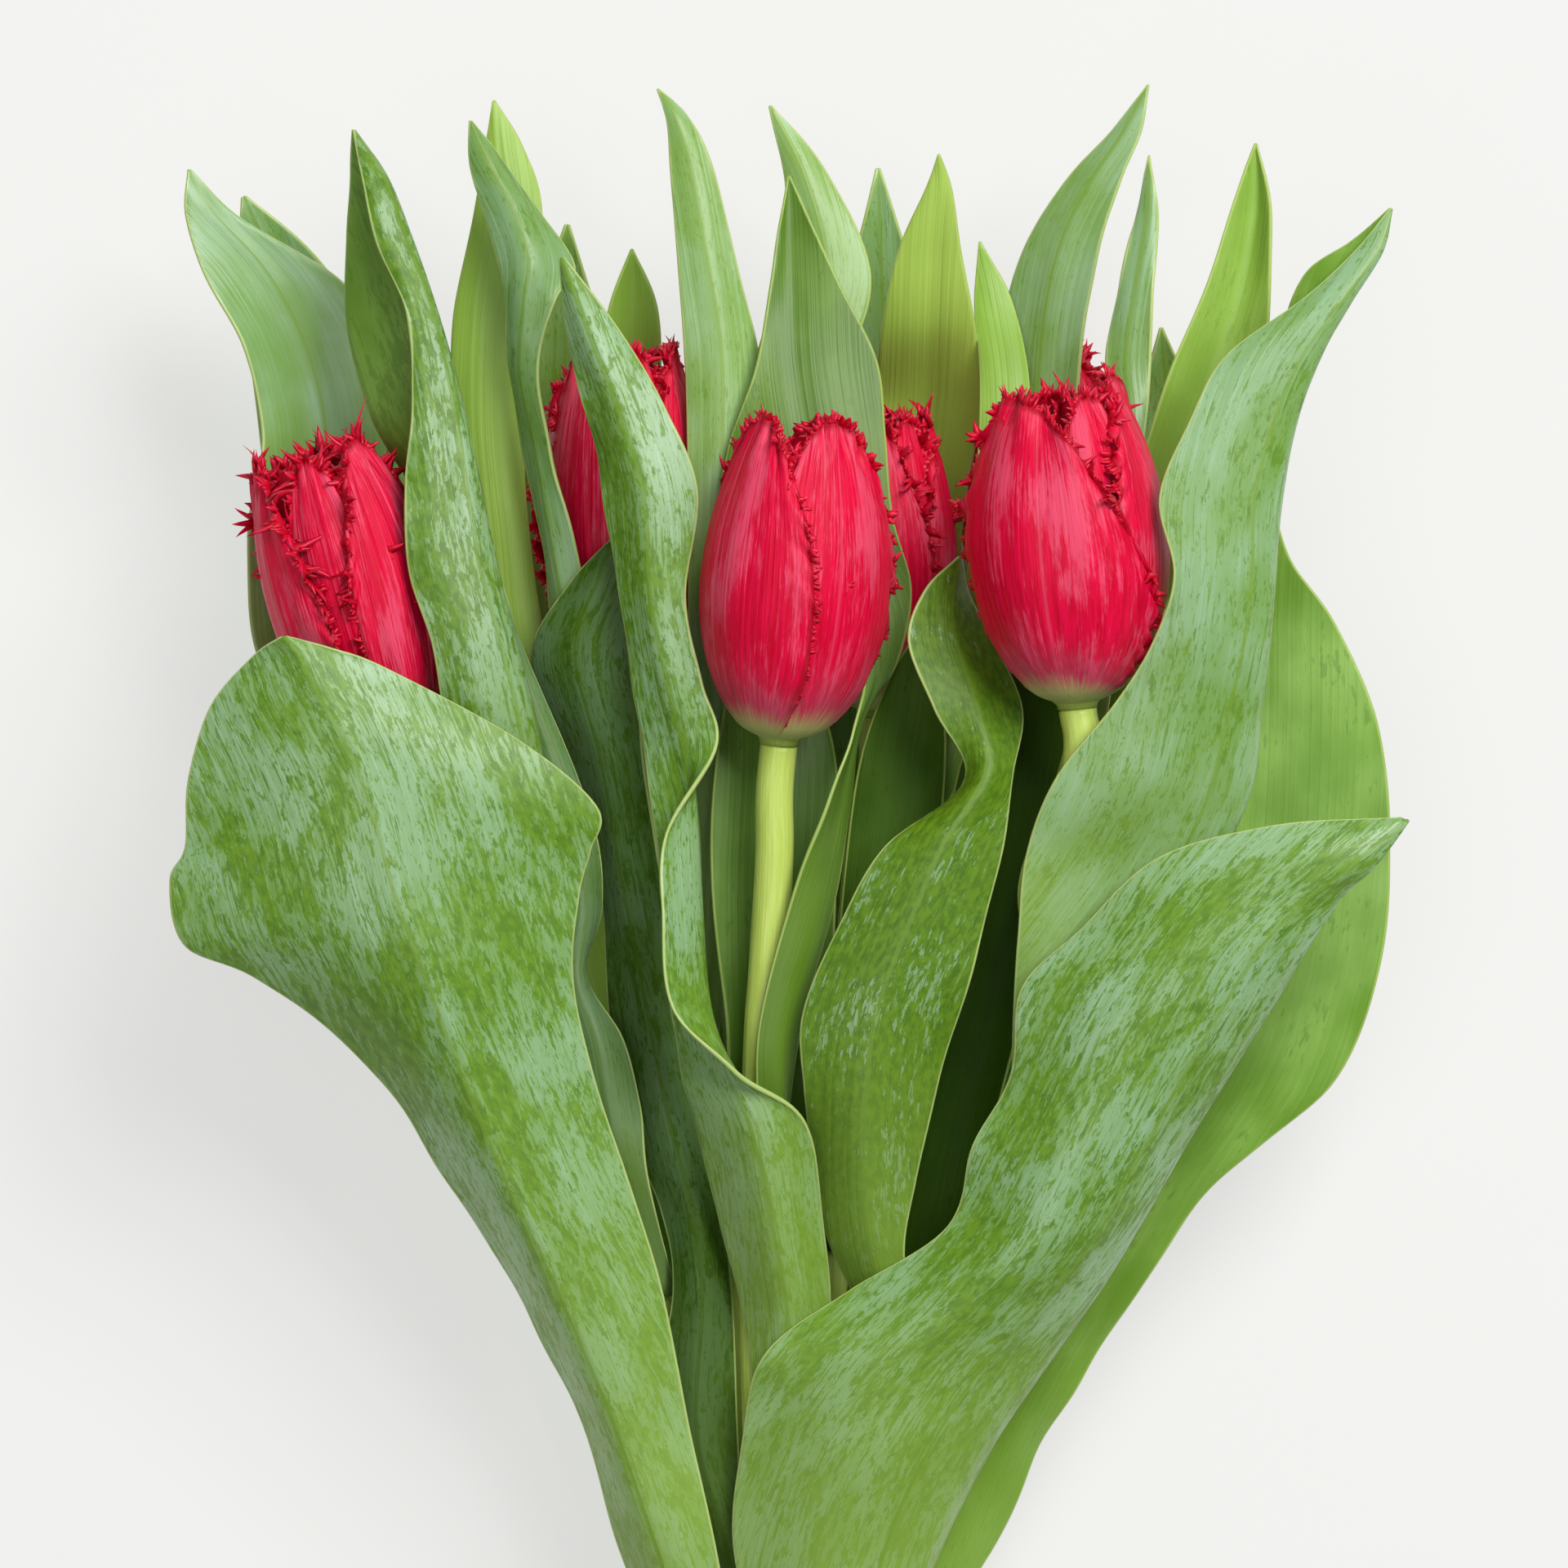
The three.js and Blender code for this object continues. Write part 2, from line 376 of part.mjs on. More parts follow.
// Keeps a leaf's middle surface half its thickness above the surface, so that it is pressed flat there.
function pressFlat(p) {
  const short = LEAF_HALF_THICKNESS - heightAboveSurface(p);
  if (short > 0) p.add(new THREE.Vector3(0, Math.sin(TIP_ANGLE), Math.cos(TIP_ANGLE)).multiplyScalar(short));
  return p;
}

// Catmull-Rom interpolation through equally spaced points, with the ends reflected.
function alongPoints(points, s) {
  if (points.length === 1) return points[0].clone();
  const last = points.length - 1;
  const i = Math.min(Math.floor(s * last), last - 1);
  const f = s * last - i;
  const at = (k) => {
    if (k < 0) return points[0].clone().multiplyScalar(2).sub(points[1]);
    if (k > last) return points[last].clone().multiplyScalar(2).sub(points[last - 1]);
    return points[k];
  };
  const [a, b, c, d] = [at(i - 1), at(i), at(i + 1), at(i + 2)];
  const [f2, f3] = [f * f, f ** 3];
  const weights = [-f + 2 * f2 - f3, 2 - 5 * f2 + 3 * f3, f + 4 * f2 - 3 * f3, f3 - f2];
  return [a, b, c, d].reduce((sum, p, k) => sum.addScaledVector(p, weights[k] / 2), new THREE.Vector3());
}

// A stem's centre line at the height v, found by halving.
function stemPointAt(stem, v) {
  let [low, high] = [0, 1];
  for (let i = 0; i < 40; i++) {
    const middle = (low + high) / 2;
    if (alongPoints(stem, middle).y < v) low = middle;
    else high = middle;
  }
  return alongPoints(stem, low);
}

// The first row of a leaf, which clasps its stem.
function claspRow(leaf, columns) {
  const centre = stemPointAt(stemLine(TULIPS[leaf.stem]), leaf.at);
  const facesUp = Math.sin(THREE.MathUtils.degToRad(leaf.toward)) >= 0;
  return Array.from({ length: columns }, (_, k) => {
    const side = (k / (columns - 1)) * 2 - 1;
    const angle = THREE.MathUtils.degToRad(leaf.toward + (facesUp ? -side : side) * CLASP_SPREAD);
    const offset = new THREE.Vector3(Math.cos(angle), 0, Math.sin(angle)).multiplyScalar(CLASP_RADIUS);
    return centre.clone().add(offset);
  });
}

// Rows of left margin, midrib and right margin worked out from a spine.
function rowsFromSpine(leaf) {
  const middle = toVectors([...leaf.spine.map(([u, v, w]) => [u, v, w]), leaf.tip]);
  const up = new THREE.Vector3(0, 0, 1);
  const rows = leaf.spine.map(([, , , halfWidth, curl], i) => {
    const before = middle[Math.max(i - 1, 0)];
    const along = middle[i + 1].clone().sub(before);
    const across = along.cross(up).normalize();
    const margin = (side) =>
      middle[i].clone().addScaledVector(across, side * halfWidth).addScaledVector(up, curl);
    return [margin(-1), middle[i], margin(1)];
  });
  return [...rows, [middle.at(-1)]];
}

function toVectors(points) {
  return points.map((p) => new THREE.Vector3(...p));
}

function bloomAxis(tulip) {
  return new THREE.Vector3(...tulip.top).sub(new THREE.Vector3(...tulip.stem.at(-1))).normalize();
}

// A stem's line of points, which ends straight along the axis of its bloom.
function stemLine(tulip) {
  const points = toVectors(tulip.stem);
  const base = points.pop();
  return [...points, base.clone().addScaledVector(bloomAxis(tulip), -STRAIGHT_NECK), base];
}

// The middle surface of a leaf as a function of s, from clasp to tip, and t, from left to right margin.
function leafSurface(leaf) {
  const rows = leaf.rows ? leaf.rows.map(toVectors) : rowsFromSpine(leaf);
  rows.unshift(claspRow(leaf, rows[0].length));
  const columns = rows[0].length;
  const column = (k) => rows.map((row) => row[Math.min(k, row.length - 1)]);
  const lines = Array.from({ length: columns }, (_, k) => column(k));
  const surface = (s, t) => pressFlat(alongPoints(lines.map((line) => alongPoints(line, s)), t));
  return { surface, steps: rows.length - 1 };
}

// The unit normal of a surface at (s, t), by differences kept inside the surface.
function normalOf(surface, s, t) {
  const h = 1e-3;
  const sInside = Math.min(s, 0.985);
  const alongS = surface(Math.min(s + h, 1), t).sub(surface(Math.max(s - h, 0), t));
  const alongT = surface(sInside, Math.min(t + h, 1)).sub(surface(sInside, Math.max(t - h, 0)));
  return alongT.cross(alongS).normalize();
}

function geometryOf(vertices, triangles) {
  const geometry = new THREE.BufferGeometry();
  const coordinates = vertices.flatMap((p) => p.toArray());
  geometry.setAttribute("position", new THREE.Float32BufferAttribute(coordinates, 3));
  geometry.setIndex(triangles.flat());
  return geometry;
}

// A thin closed blade round a middle surface. Both faces are split along the same diagonals. A last row that
// comes to a point is one vertex on each face. toothAt gives, for a piece of the rim, the length of the tooth
// that stands on it, or 0.
function blade({ surface, steps, across, halfThickness, pointed, toothAt = () => 0 }) {
  const vertices = [];
  const triangles = [];
  const face = [];
  for (const side of [1, -1]) {
    const grid = [];
    for (let i = 0; i <= steps; i++) {
      const row = [];
      for (let j = 0; j <= across; j++) {
        if (pointed && i === steps && j > 0) {
          row.push(row[0]);
          continue;
        }
        const [s, t] = [i / steps, pointed && i === steps ? 0.5 : j / across];
        const p = surface(s, t).addScaledVector(normalOf(surface, s, t), side * halfThickness(s, t));
        row.push(vertices.push(p) - 1);
      }
      grid.push(row);
    }
    face.push(grid);
  }
  const [front, back] = face;
  const add = (a, b, c) => {
    if (a !== b && b !== c && a !== c) triangles.push([a, b, c]);
  };
  for (let i = 0; i < steps; i++) {
    for (let j = 0; j < across; j++) {
      add(front[i][j], front[i][j + 1], front[i + 1][j + 1]);
      add(front[i][j], front[i + 1][j + 1], front[i + 1][j]);
      add(back[i][j], back[i + 1][j + 1], back[i][j + 1]);
      add(back[i][j], back[i + 1][j], back[i + 1][j + 1]);
    }
  }
  // One piece of the rim, from a to b on the front face, with the solid on its left hand.
  const rim = (i0, j0, i1, j1, place) => {
    const corners = [front[i1][j1], front[i0][j0], back[i0][j0], back[i1][j1]];
    const length = toothAt(place);
    if (length > 0) {
      const centre = new THREE.Vector3();
      corners.forEach((k) => centre.addScaledVector(vertices[k], 0.25));
      const along = vertices[corners[1]].clone().sub(vertices[corners[0]]);
      const through = vertices[corners[2]].clone().sub(vertices[corners[1]]);
      const out = along.cross(through).normalize();
      const apex = vertices.push(centre.addScaledVector(out, length)) - 1;
      corners.forEach((corner, k) => add(corner, corners[(k + 1) % 4], apex));
    } else {
      add(corners[0], corners[1], corners[2]);
      add(corners[0], corners[2], corners[3]);
    }
  };
  for (let j = 0; j < across; j++) {
    rim(0, j, 0, j + 1, { edge: "base", i: 0, j });
    if (!pointed) rim(steps, j + 1, steps, j, { edge: "top", i: steps, j });
  }
  for (let i = 0; i < steps; i++) {
    rim(i + 1, 0, i, 0, { edge: "side", i, j: 0 });
    rim(i, across, i + 1, across, { edge: "side", i, j: across });
  }
  return geometryOf(vertices, triangles);
}

function leafGeometry(leaf) {
  const { surface, steps } = leafSurface(leaf);
  const halfThickness = (s, t) =>
    THREE.MathUtils.lerp(LEAF_HALF_THICKNESS, LEAF_EDGE_HALF_THICKNESS, Math.max((2 * t - 1) ** 2, s ** 6));
  return blade({ surface, steps, across: LEAF_ACROSS, halfThickness, pointed: true });
}

// A round solid swept along a line of points, with its radius going from r0 to r1.
function sweptRod(points, r0, r1, steps, sides) {
  const curve = { at: (s) => alongPoints(points, s) };
  const vertices = [];
  const triangles = [];
  const side = new THREE.Vector3(1, 0, 0);
  for (let i = 0; i <= steps; i++) {
    const s = i / steps;
    const centre = curve.at(s);
    const along = curve.at(Math.min(s + 0.01, 1)).sub(curve.at(Math.max(s - 0.01, 0))).normalize();
    const across = side.clone().addScaledVector(along, -side.dot(along)).normalize();
    const upward = across.clone().cross(along);
    const radius = THREE.MathUtils.lerp(r0, r1, s);
    for (let k = 0; k < sides; k++) {
      const angle = ((k + 0.5) / sides) * 2 * Math.PI;
      vertices.push(centre.clone().addScaledVector(across, radius * Math.cos(angle))
        .addScaledVector(upward, radius * Math.sin(angle)));
    }
  }
  for (let k = 0; k < sides; k++) {
    const next = (k + 1) % sides;
    for (let i = 0; i < steps; i++) {
      const [a, b] = [i * sides + k, i * sides + next];
      triangles.push([a, a + sides, b], [b, a + sides, b + sides]);
    }
    if (k > 0 && next > 0) {
      triangles.push([0, k, next], [steps * sides, steps * sides + next, steps * sides + k]);
    }
  }
  return geometryOf(vertices, triangles);
}

function toSolid(geometry) {
  const bare = new THREE.BufferGeometry();
  bare.setAttribute("position", geometry.getAttribute("position"));
  bare.setIndex(geometry.index);
  const merged = mergeVertices(bare, 1e-4);
  return new wasm.Manifold(new wasm.Mesh({
    numProp: 3,
    vertProperties: new Float32Array(merged.attributes.position.array),
    triVerts: new Uint32Array(merged.index.array),
  }));
}

// Joins closed geometries into one body. A sealed hollow between them is filled and a loose scrap dropped.
function fuse(geometries) {
  const joined = geometries.map(toSolid).reduce((sum, solid) => sum.add(solid));
  const body = joined.decompose().reduce((best, part) => (part.volume() > best.volume() ? part : best));
  const mesh = body.simplify(FINEST_DETAIL).getMesh();
  const geometry = new THREE.BufferGeometry();
  geometry.setAttribute("position", new THREE.Float32BufferAttribute(mesh.vertProperties, 3));
  geometry.setIndex(new THREE.BufferAttribute(mesh.triVerts, 1));
  return geometry;
}

const SEAT_HEIGHT = 5.4; // top of the receptacle
const INNER_HALF_ANGLE = 52;

// Half profiles of the cup, as radius and height in a typical bloom, for the two rings of petals.
const OUTER_PROFILE = [[3.2, 1.2], [8.8, 4.4], [14.2, 13], [17, 25], [16.6, 38], [13.8, 50], [9.6, 60]];
const INNER_PROFILE = [[2.6, 2.4], [6.8, 6.4], [11.8, 14], [14.3, 26], [13.8, 38], [11, 49.5], [7.2, 59]];
const PETAL_OUTER = { profile: OUTER_PROFILE, steps: 5, across: 6, toothedRow: 3, tooth: 2.8 };
const PETAL_INNER = { profile: INNER_PROFILE, steps: 4, across: 4, toothedRow: 2, tooth: 2.8 };

// One petal: a strip of the cup from its base to an arched, toothed top, round the bloom's own axis z.
function petalGeometry(ring, tulip, [centreAngle, halfAngle, reach, slope]) {
  const spread = (z) => THREE.MathUtils.lerp(1, tulip.mouth, (z / BLOOM_HEIGHT) ** 2) * tulip.girth;
  const profile = ring.profile.map(([r, z]) => new THREE.Vector3(r * spread(z), 0, z * tulip.height));
  const widthAt = (s) => {
    const opening = Math.sin((Math.PI / 2) * Math.min(s / 0.5, 1));
    const closing = Math.max(s - 0.5, 0) / 0.5;
    return halfAngle * (0.62 + 0.38 * opening) * (1 - 0.3 * closing ** 2.5);
  };
  const surface = (s, t) => {
    const side = 2 * t - 1;
    const place = alongPoints(profile, s * reach * (1 - 0.2 * Math.abs(side) ** 2.4 - slope * side));
    const lift = PETAL_TURN_LIFT * side * Math.min(s * 3, 1) - 0.5 * side * side;
    const angle = THREE.MathUtils.degToRad(centreAngle + side * widthAt(s));
    const radius = place.x + lift;
    return new THREE.Vector3(radius * Math.sin(angle), -radius * Math.cos(angle), place.z);
  };
  const toothAt = ({ edge, i }) => {
    if (edge === "base" || (edge === "side" && i !== ring.toothedRow)) return 0;
    return ring.tooth * (edge === "top" ? 1 : 0.7);
  };
  const halfThickness = () => PETAL_HALF_THICKNESS;
  return blade({ surface, steps: ring.steps, across: ring.across, halfThickness, pointed: false, toothAt });
}

// The receptacle that the petals grow from.
function receptacleGeometry(tulip) {
  const g = tulip.girth;
  const profile = [[0, 0], [3.6, 0], [4.9 * g, 1.6], [6.8 * g, 3.4], [5 * g, SEAT_HEIGHT], [0, SEAT_HEIGHT]];
  return new THREE.LatheGeometry(profile.map(([r, y]) => new THREE.Vector2(r, y)), STEM_SIDES)
    .rotateX(Math.PI / 2);
}

function bloomGeometry(tulip) {
  const even = (start, halfAngle) => [0, 120, 240].map((step) => [start + step, halfAngle, 1, 0]);
  const outer = tulip.outer ?? even(tulip.turn, tulip.outerHalfAngle);
  const inner = tulip.inner ?? even(tulip.turn + 60, INNER_HALF_ANGLE);
  return fuse([
    receptacleGeometry(tulip),
    ...outer.map((petal) => petalGeometry(PETAL_OUTER, tulip, petal)),
    ...inner.map((petal) => petalGeometry(PETAL_INNER, tulip, petal)),
  ]);
}

// The pistil with six stamens round it, on one small disc.
const PISTIL_OUTLINE = [[0, 0], [3.4, 0], [3.4, 1.4], [2.2, 1.6], [2.2, 20], [3.2, 22.5], [0, 22]];
const STAMENS = 6;
const STAMEN_LINE = [[2.8, 6.4], [4.6, 15], [5.4, 24]]; // radius and height
const FILAMENT_RADIUS = 0.5;
const ANTHER_RADIUS = 1.0;

function pistilGeometry() {
  const column = new THREE.LatheGeometry(PISTIL_OUTLINE.map(([r, y]) => new THREE.Vector2(r, y)), STAMENS)
    .rotateX(Math.PI / 2).translate(0, 0, SEAT_HEIGHT + SEAT_GAP);
  const stamens = Array.from({ length: STAMENS }, (_, k) => {
    const angle = (k / STAMENS) * 2 * Math.PI;
    const line = STAMEN_LINE.map(([r, z]) => new THREE.Vector3(r * Math.cos(angle), r * Math.sin(angle), z));
    return sweptRod(line, FILAMENT_RADIUS, ANTHER_RADIUS, 2, 3);
  });
  return fuse([column, ...stamens]);
}

// A group whose z axis runs along the bloom, with the sides of the petals told from the side that faces up.
function bloomGroup(tulip) {
  const base = new THREE.Vector3(...tulip.stem.at(-1));
  const axis = bloomAxis(tulip);
  const right = new THREE.Vector3(0, 0, 1).cross(axis).negate().normalize();
  const down = axis.clone().cross(right);
  const group = new THREE.Group();
  group.quaternion.setFromRotationMatrix(new THREE.Matrix4().makeBasis(right, down, axis));
  group.position.copy(base).addScaledVector(axis, SEAT_GAP);
  return group;
}

function tieGeometry() {
  const [inner, outer, half] = [TIE_INNER_RADIUS, TIE_INNER_RADIUS + TIE_THICKNESS, TIE_WIDTH / 2];
  const profile = [[inner, -half], [outer, -half], [outer + TIE_CROWN, 0], [outer, half], [inner, half],
    [inner, -half]];
  return new THREE.LatheGeometry(profile.map(([r, y]) => new THREE.Vector2(r, y)), TIE_SIDES);
}

function mesh(name, geometry, color, roughness) {
  const made = new THREE.Mesh(geometry, new THREE.MeshStandardMaterial({ color, roughness, metalness: 0 }));
  made.name = name;
  return made;
}

function tulipGroup(letter, tulip) {
  const group = new THREE.Group();
  const stem = sweptRod(stemLine(tulip), STEM_RADIUS_FOOT, STEM_RADIUS_TOP, STEM_STEPS, STEM_SIDES);
  group.add(mesh("stem_" + letter, stem, STEM_GREEN, 0.5));
  const head = bloomGroup(tulip);
  head.add(mesh("bloom_" + letter, bloomGeometry(tulip), PETAL_CRIMSON, 0.45));
  head.add(mesh("pistil_and_stamens_" + letter, pistilGeometry(), POLLEN_GREEN, 0.6));
  group.add(head);
  for (const leaf of LEAVES.filter((each) => each.stem === letter)) {
    group.add(mesh(leaf.name, leafGeometry(leaf), LEAF_GREEN, 0.4));
  }
  return group;
}

const bunch = new THREE.Group();
for (const [letter, tulip] of Object.entries(TULIPS)) bunch.add(tulipGroup(letter, tulip));
const tie = mesh("tie", tieGeometry(), TIE_GREEN, 0.8);
tie.position.set(...TIE_PLACE);
bunch.add(tie);
bunch.rotation.x = TIP_ANGLE;
bunch.position.set(-FOOTPRINT_CENTRE[0], -FOOTPRINT_CENTRE[1], LIFT);

const root = new THREE.Group();
root.add(bunch);
export default root;
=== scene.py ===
"""A tied bunch of seven fringed tulips, dressed for the studio.

Shapes are worked out in the bunch's own frame, in millimetres: u to the right, v along the stems toward the
flowers, w toward the side that faces up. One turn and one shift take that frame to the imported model's frame.
"""

import logging
import math
from abc import ABC, abstractmethod
from dataclasses import dataclass, field
from enum import Enum

import bpy
import numpy as np
from mathutils import Matrix, Vector

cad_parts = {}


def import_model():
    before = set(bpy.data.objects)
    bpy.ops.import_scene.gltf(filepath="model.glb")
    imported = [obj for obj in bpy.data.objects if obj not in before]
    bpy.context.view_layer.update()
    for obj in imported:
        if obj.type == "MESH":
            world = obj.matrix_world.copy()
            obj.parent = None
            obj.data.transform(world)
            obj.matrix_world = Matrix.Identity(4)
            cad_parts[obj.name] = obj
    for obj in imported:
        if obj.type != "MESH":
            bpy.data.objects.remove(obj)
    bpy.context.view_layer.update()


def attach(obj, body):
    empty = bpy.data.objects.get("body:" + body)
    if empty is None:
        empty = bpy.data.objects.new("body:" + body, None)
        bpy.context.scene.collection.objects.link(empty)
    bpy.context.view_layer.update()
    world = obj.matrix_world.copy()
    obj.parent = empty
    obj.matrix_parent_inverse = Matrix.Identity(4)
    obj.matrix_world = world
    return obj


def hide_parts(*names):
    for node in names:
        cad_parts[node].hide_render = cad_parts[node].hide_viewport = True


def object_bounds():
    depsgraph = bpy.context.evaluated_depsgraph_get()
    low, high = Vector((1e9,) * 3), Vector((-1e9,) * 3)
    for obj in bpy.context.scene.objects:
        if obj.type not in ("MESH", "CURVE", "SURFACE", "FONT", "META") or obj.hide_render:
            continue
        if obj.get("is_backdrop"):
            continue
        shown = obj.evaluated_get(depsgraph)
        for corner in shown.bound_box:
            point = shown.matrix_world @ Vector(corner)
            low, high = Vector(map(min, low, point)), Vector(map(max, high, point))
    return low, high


log = logging.getLogger("tulips")

Array = np.ndarray
Draws = np.random.Generator
Material = bpy.types.Material
Node = bpy.types.Node
Tree = bpy.types.NodeTree
Made = bpy.types.Object

MM = 0.001

# The bunch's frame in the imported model's: the turn about u that lays it down, the shift of u and v, and
# the height of u = v = w = 0 over the floor, in millimetres.
TIP_ANGLE = math.radians(5.5)
FOOTPRINT_CENTRE = (1.5, 83.2)
LIFT = 39.45

# What the camera shows: the middle of its picture in u and v, and the picture's width, in millimetres.
VIEW_CENTRE = (0.0, 144.0)
VIEW_SPAN = 288.0


class Face(Enum):
    """The face of a leaf that is turned up: the waxy outer one, the smoother inner one, or wax on both."""

    OUTER = "outer"
    INNER = "inner"
    BOTH = "both"


class Place(Enum):
    """How well a leaf is seen, as the millimetres between the lines of its mesh."""

    FRONT = 1.5
    MIDDLE = 2.2
    HIDDEN = 4.0


# ---- plans of the pieces


@dataclass(frozen=True)
class TulipPlan:
    """One tulip: its stem's centre line from the cut end up, and its bloom's size and turn.

    Args:
        stem: points of the centre line, in the bunch's frame, in millimetres.
        top: the bloom's highest point on its own axis.
        girth: the bloom's width against the typical bloom.
        height: its height against the typical bloom.
        seed: start of its random draws.
        mouth: how far its upper part opens, 1 for a closed one.
        turn: degrees from the side that faces up to the first outer petal.
        half_angle: half the angle that an outer petal spans, in degrees.
        fringe: length of its fringe against the typical one.
        outer: where they are uneven, its outer petals one by one: the angle, half the angle that it spans,
            its height against its ring's, and how far its top slopes down from left to right.
        inner: its inner petals in the same way.
    """

    stem: tuple
    top: tuple
    girth: float
    height: float
    seed: int
    mouth: float = 1.0
    turn: float = 0.0
    half_angle: float = 62.0
    fringe: float = 1.0
    outer: tuple = ()
    inner: tuple = ()


@dataclass(frozen=True)
class LeafPlan:
    """One leaf: where it clasps its stem, and the net of its blade.

    Args:
        stem: letter of the tulip that it grows on.
        at: height v of its clasp.
        toward: angle of its midrib round the stem, 0 right, 90 up.
        rubbed: how far its wax is worn off, 0 for a little and 1 for much.
        up: the face that is turned up.
        tone: from -1, a deep green that is painted shade, to 1, pale and yellow.
        place: how well it is seen.
        rows: points from the left margin to the right one, clasp to tip, the last row being the tip.
        spine: in place of rows, midrib points with the half width and the margins' curl at each.
        tip: the tip of a blade that is given by its spine.
        ripple: height of the waves along its margins, in millimetres.
    """

    stem: str
    at: float
    toward: float
    rubbed: float
    up: Face = Face.OUTER
    tone: float = 0.0
    place: Place = Place.FRONT
    rows: tuple = ()
    spine: tuple = ()
    tip: tuple = ()
    ripple: float = 0.5


TULIPS: dict[str, TulipPlan] = {
    "a": TulipPlan(
        ((-8.8, -108, -15), (-5.8, -72, -15), (-6.2, -40, -14.8), (-8.5, -18, -14.2),
         (-16, 20, -10), (-30, 65, -5), (-48, 105, -1), (-69.5, 146, 2)),
        (-87.5, 207, 4), girth=0.84, height=1.0, mouth=1.3, turn=-70, half_angle=52, seed=11, fringe=1.35,
    ),
    "b": TulipPlan(
        ((-2.8, -110, -25.45), (-1.3, -72, -22.5), (-1.5, -40, -22.3), (-4, -10, -21),
         (-10, 40, -20), (-18, 90, -18), (-26, 135, -17), (-31, 163, -17)),
        (-30, 226, -18), girth=0.82, height=1.0, mouth=1.2, turn=-40, seed=12,
    ),
    "c": TulipPlan(
        ((-2.6, -106, -5.6), (-1.3, -72, -7.5), (-1.6, -40, -7.3), (-3, 0, -5), (-4.6, 50, 2),
         (-4, 92, 8), (-3, 110, 10), (-1.8, 130, 12), (-1, 151, 14.3)),
        (4.6, 215, 23), girth=1.0, height=1.0, seed=13, fringe=0.75,
        outer=((-57, 72, 0.985, -0.05), (30, 66, 1, 0), (165, 66, 0.95, 0)),
        inner=((-12, 52, 0.9, 0), (95, 52, 0.95, 0), (-125, 52, 0.95, 0)),
    ),
    "d": TulipPlan(
        ((3, -109, -15), (3, -72, -15), (3.2, -40, -15), (5, 0, -14), (8, 50, -15), (12, 100, -18),
         (15, 135, -20.5), (17.3, 156, -21.5)),
        (18.3, 214, -23), girth=0.82, height=0.92, turn=-20, seed=14,
    ),
    "e": TulipPlan(
        ((8.8, -107, -5.4), (7.3, -72, -7.5), (7.5, -40, -7.2), (9.8, 0, -5), (22, 36, -2),
         (36, 65, 3), (45.5, 92, 8), (50.5, 124, 14.5), (53.6, 157.5, 20)),
        (48.6, 220.5, 24), girth=1.08, height=0.98, mouth=1.05, seed=15, fringe=0.9,
        outer=((-15, 78, 0.92, 0.2), (98, 66, 1, 0.08), (-180, 60, 0.95, 0)),
        inner=((-70, 52, 0.95, 0), (38, 52, 0.97, 0), (160, 52, 0.95, 0)),
    ),
    "f": TulipPlan(
        ((15, -109, -15), (11.6, -72, -15), (11.9, -40, -15), (15, 0, -15), (22, 50, -19),
         (32, 100, -27), (42, 145, -35), (47.5, 169, -41)),
        (48, 229, -44), girth=0.84, height=0.95, turn=16, half_angle=63, seed=16,
    ),
    "g": TulipPlan(
        ((8.8, -110, -25.45), (7.3, -72, -22.5), (7.3, -40, -22.5), (5, 0, -22), (1, 50, -25),
         (-3, 100, -31), (-6, 140, -38), (-7, 163, -41.5)),
        (-8, 223, -44.5), girth=0.83, height=0.95, turn=150, seed=17,
    ),
}
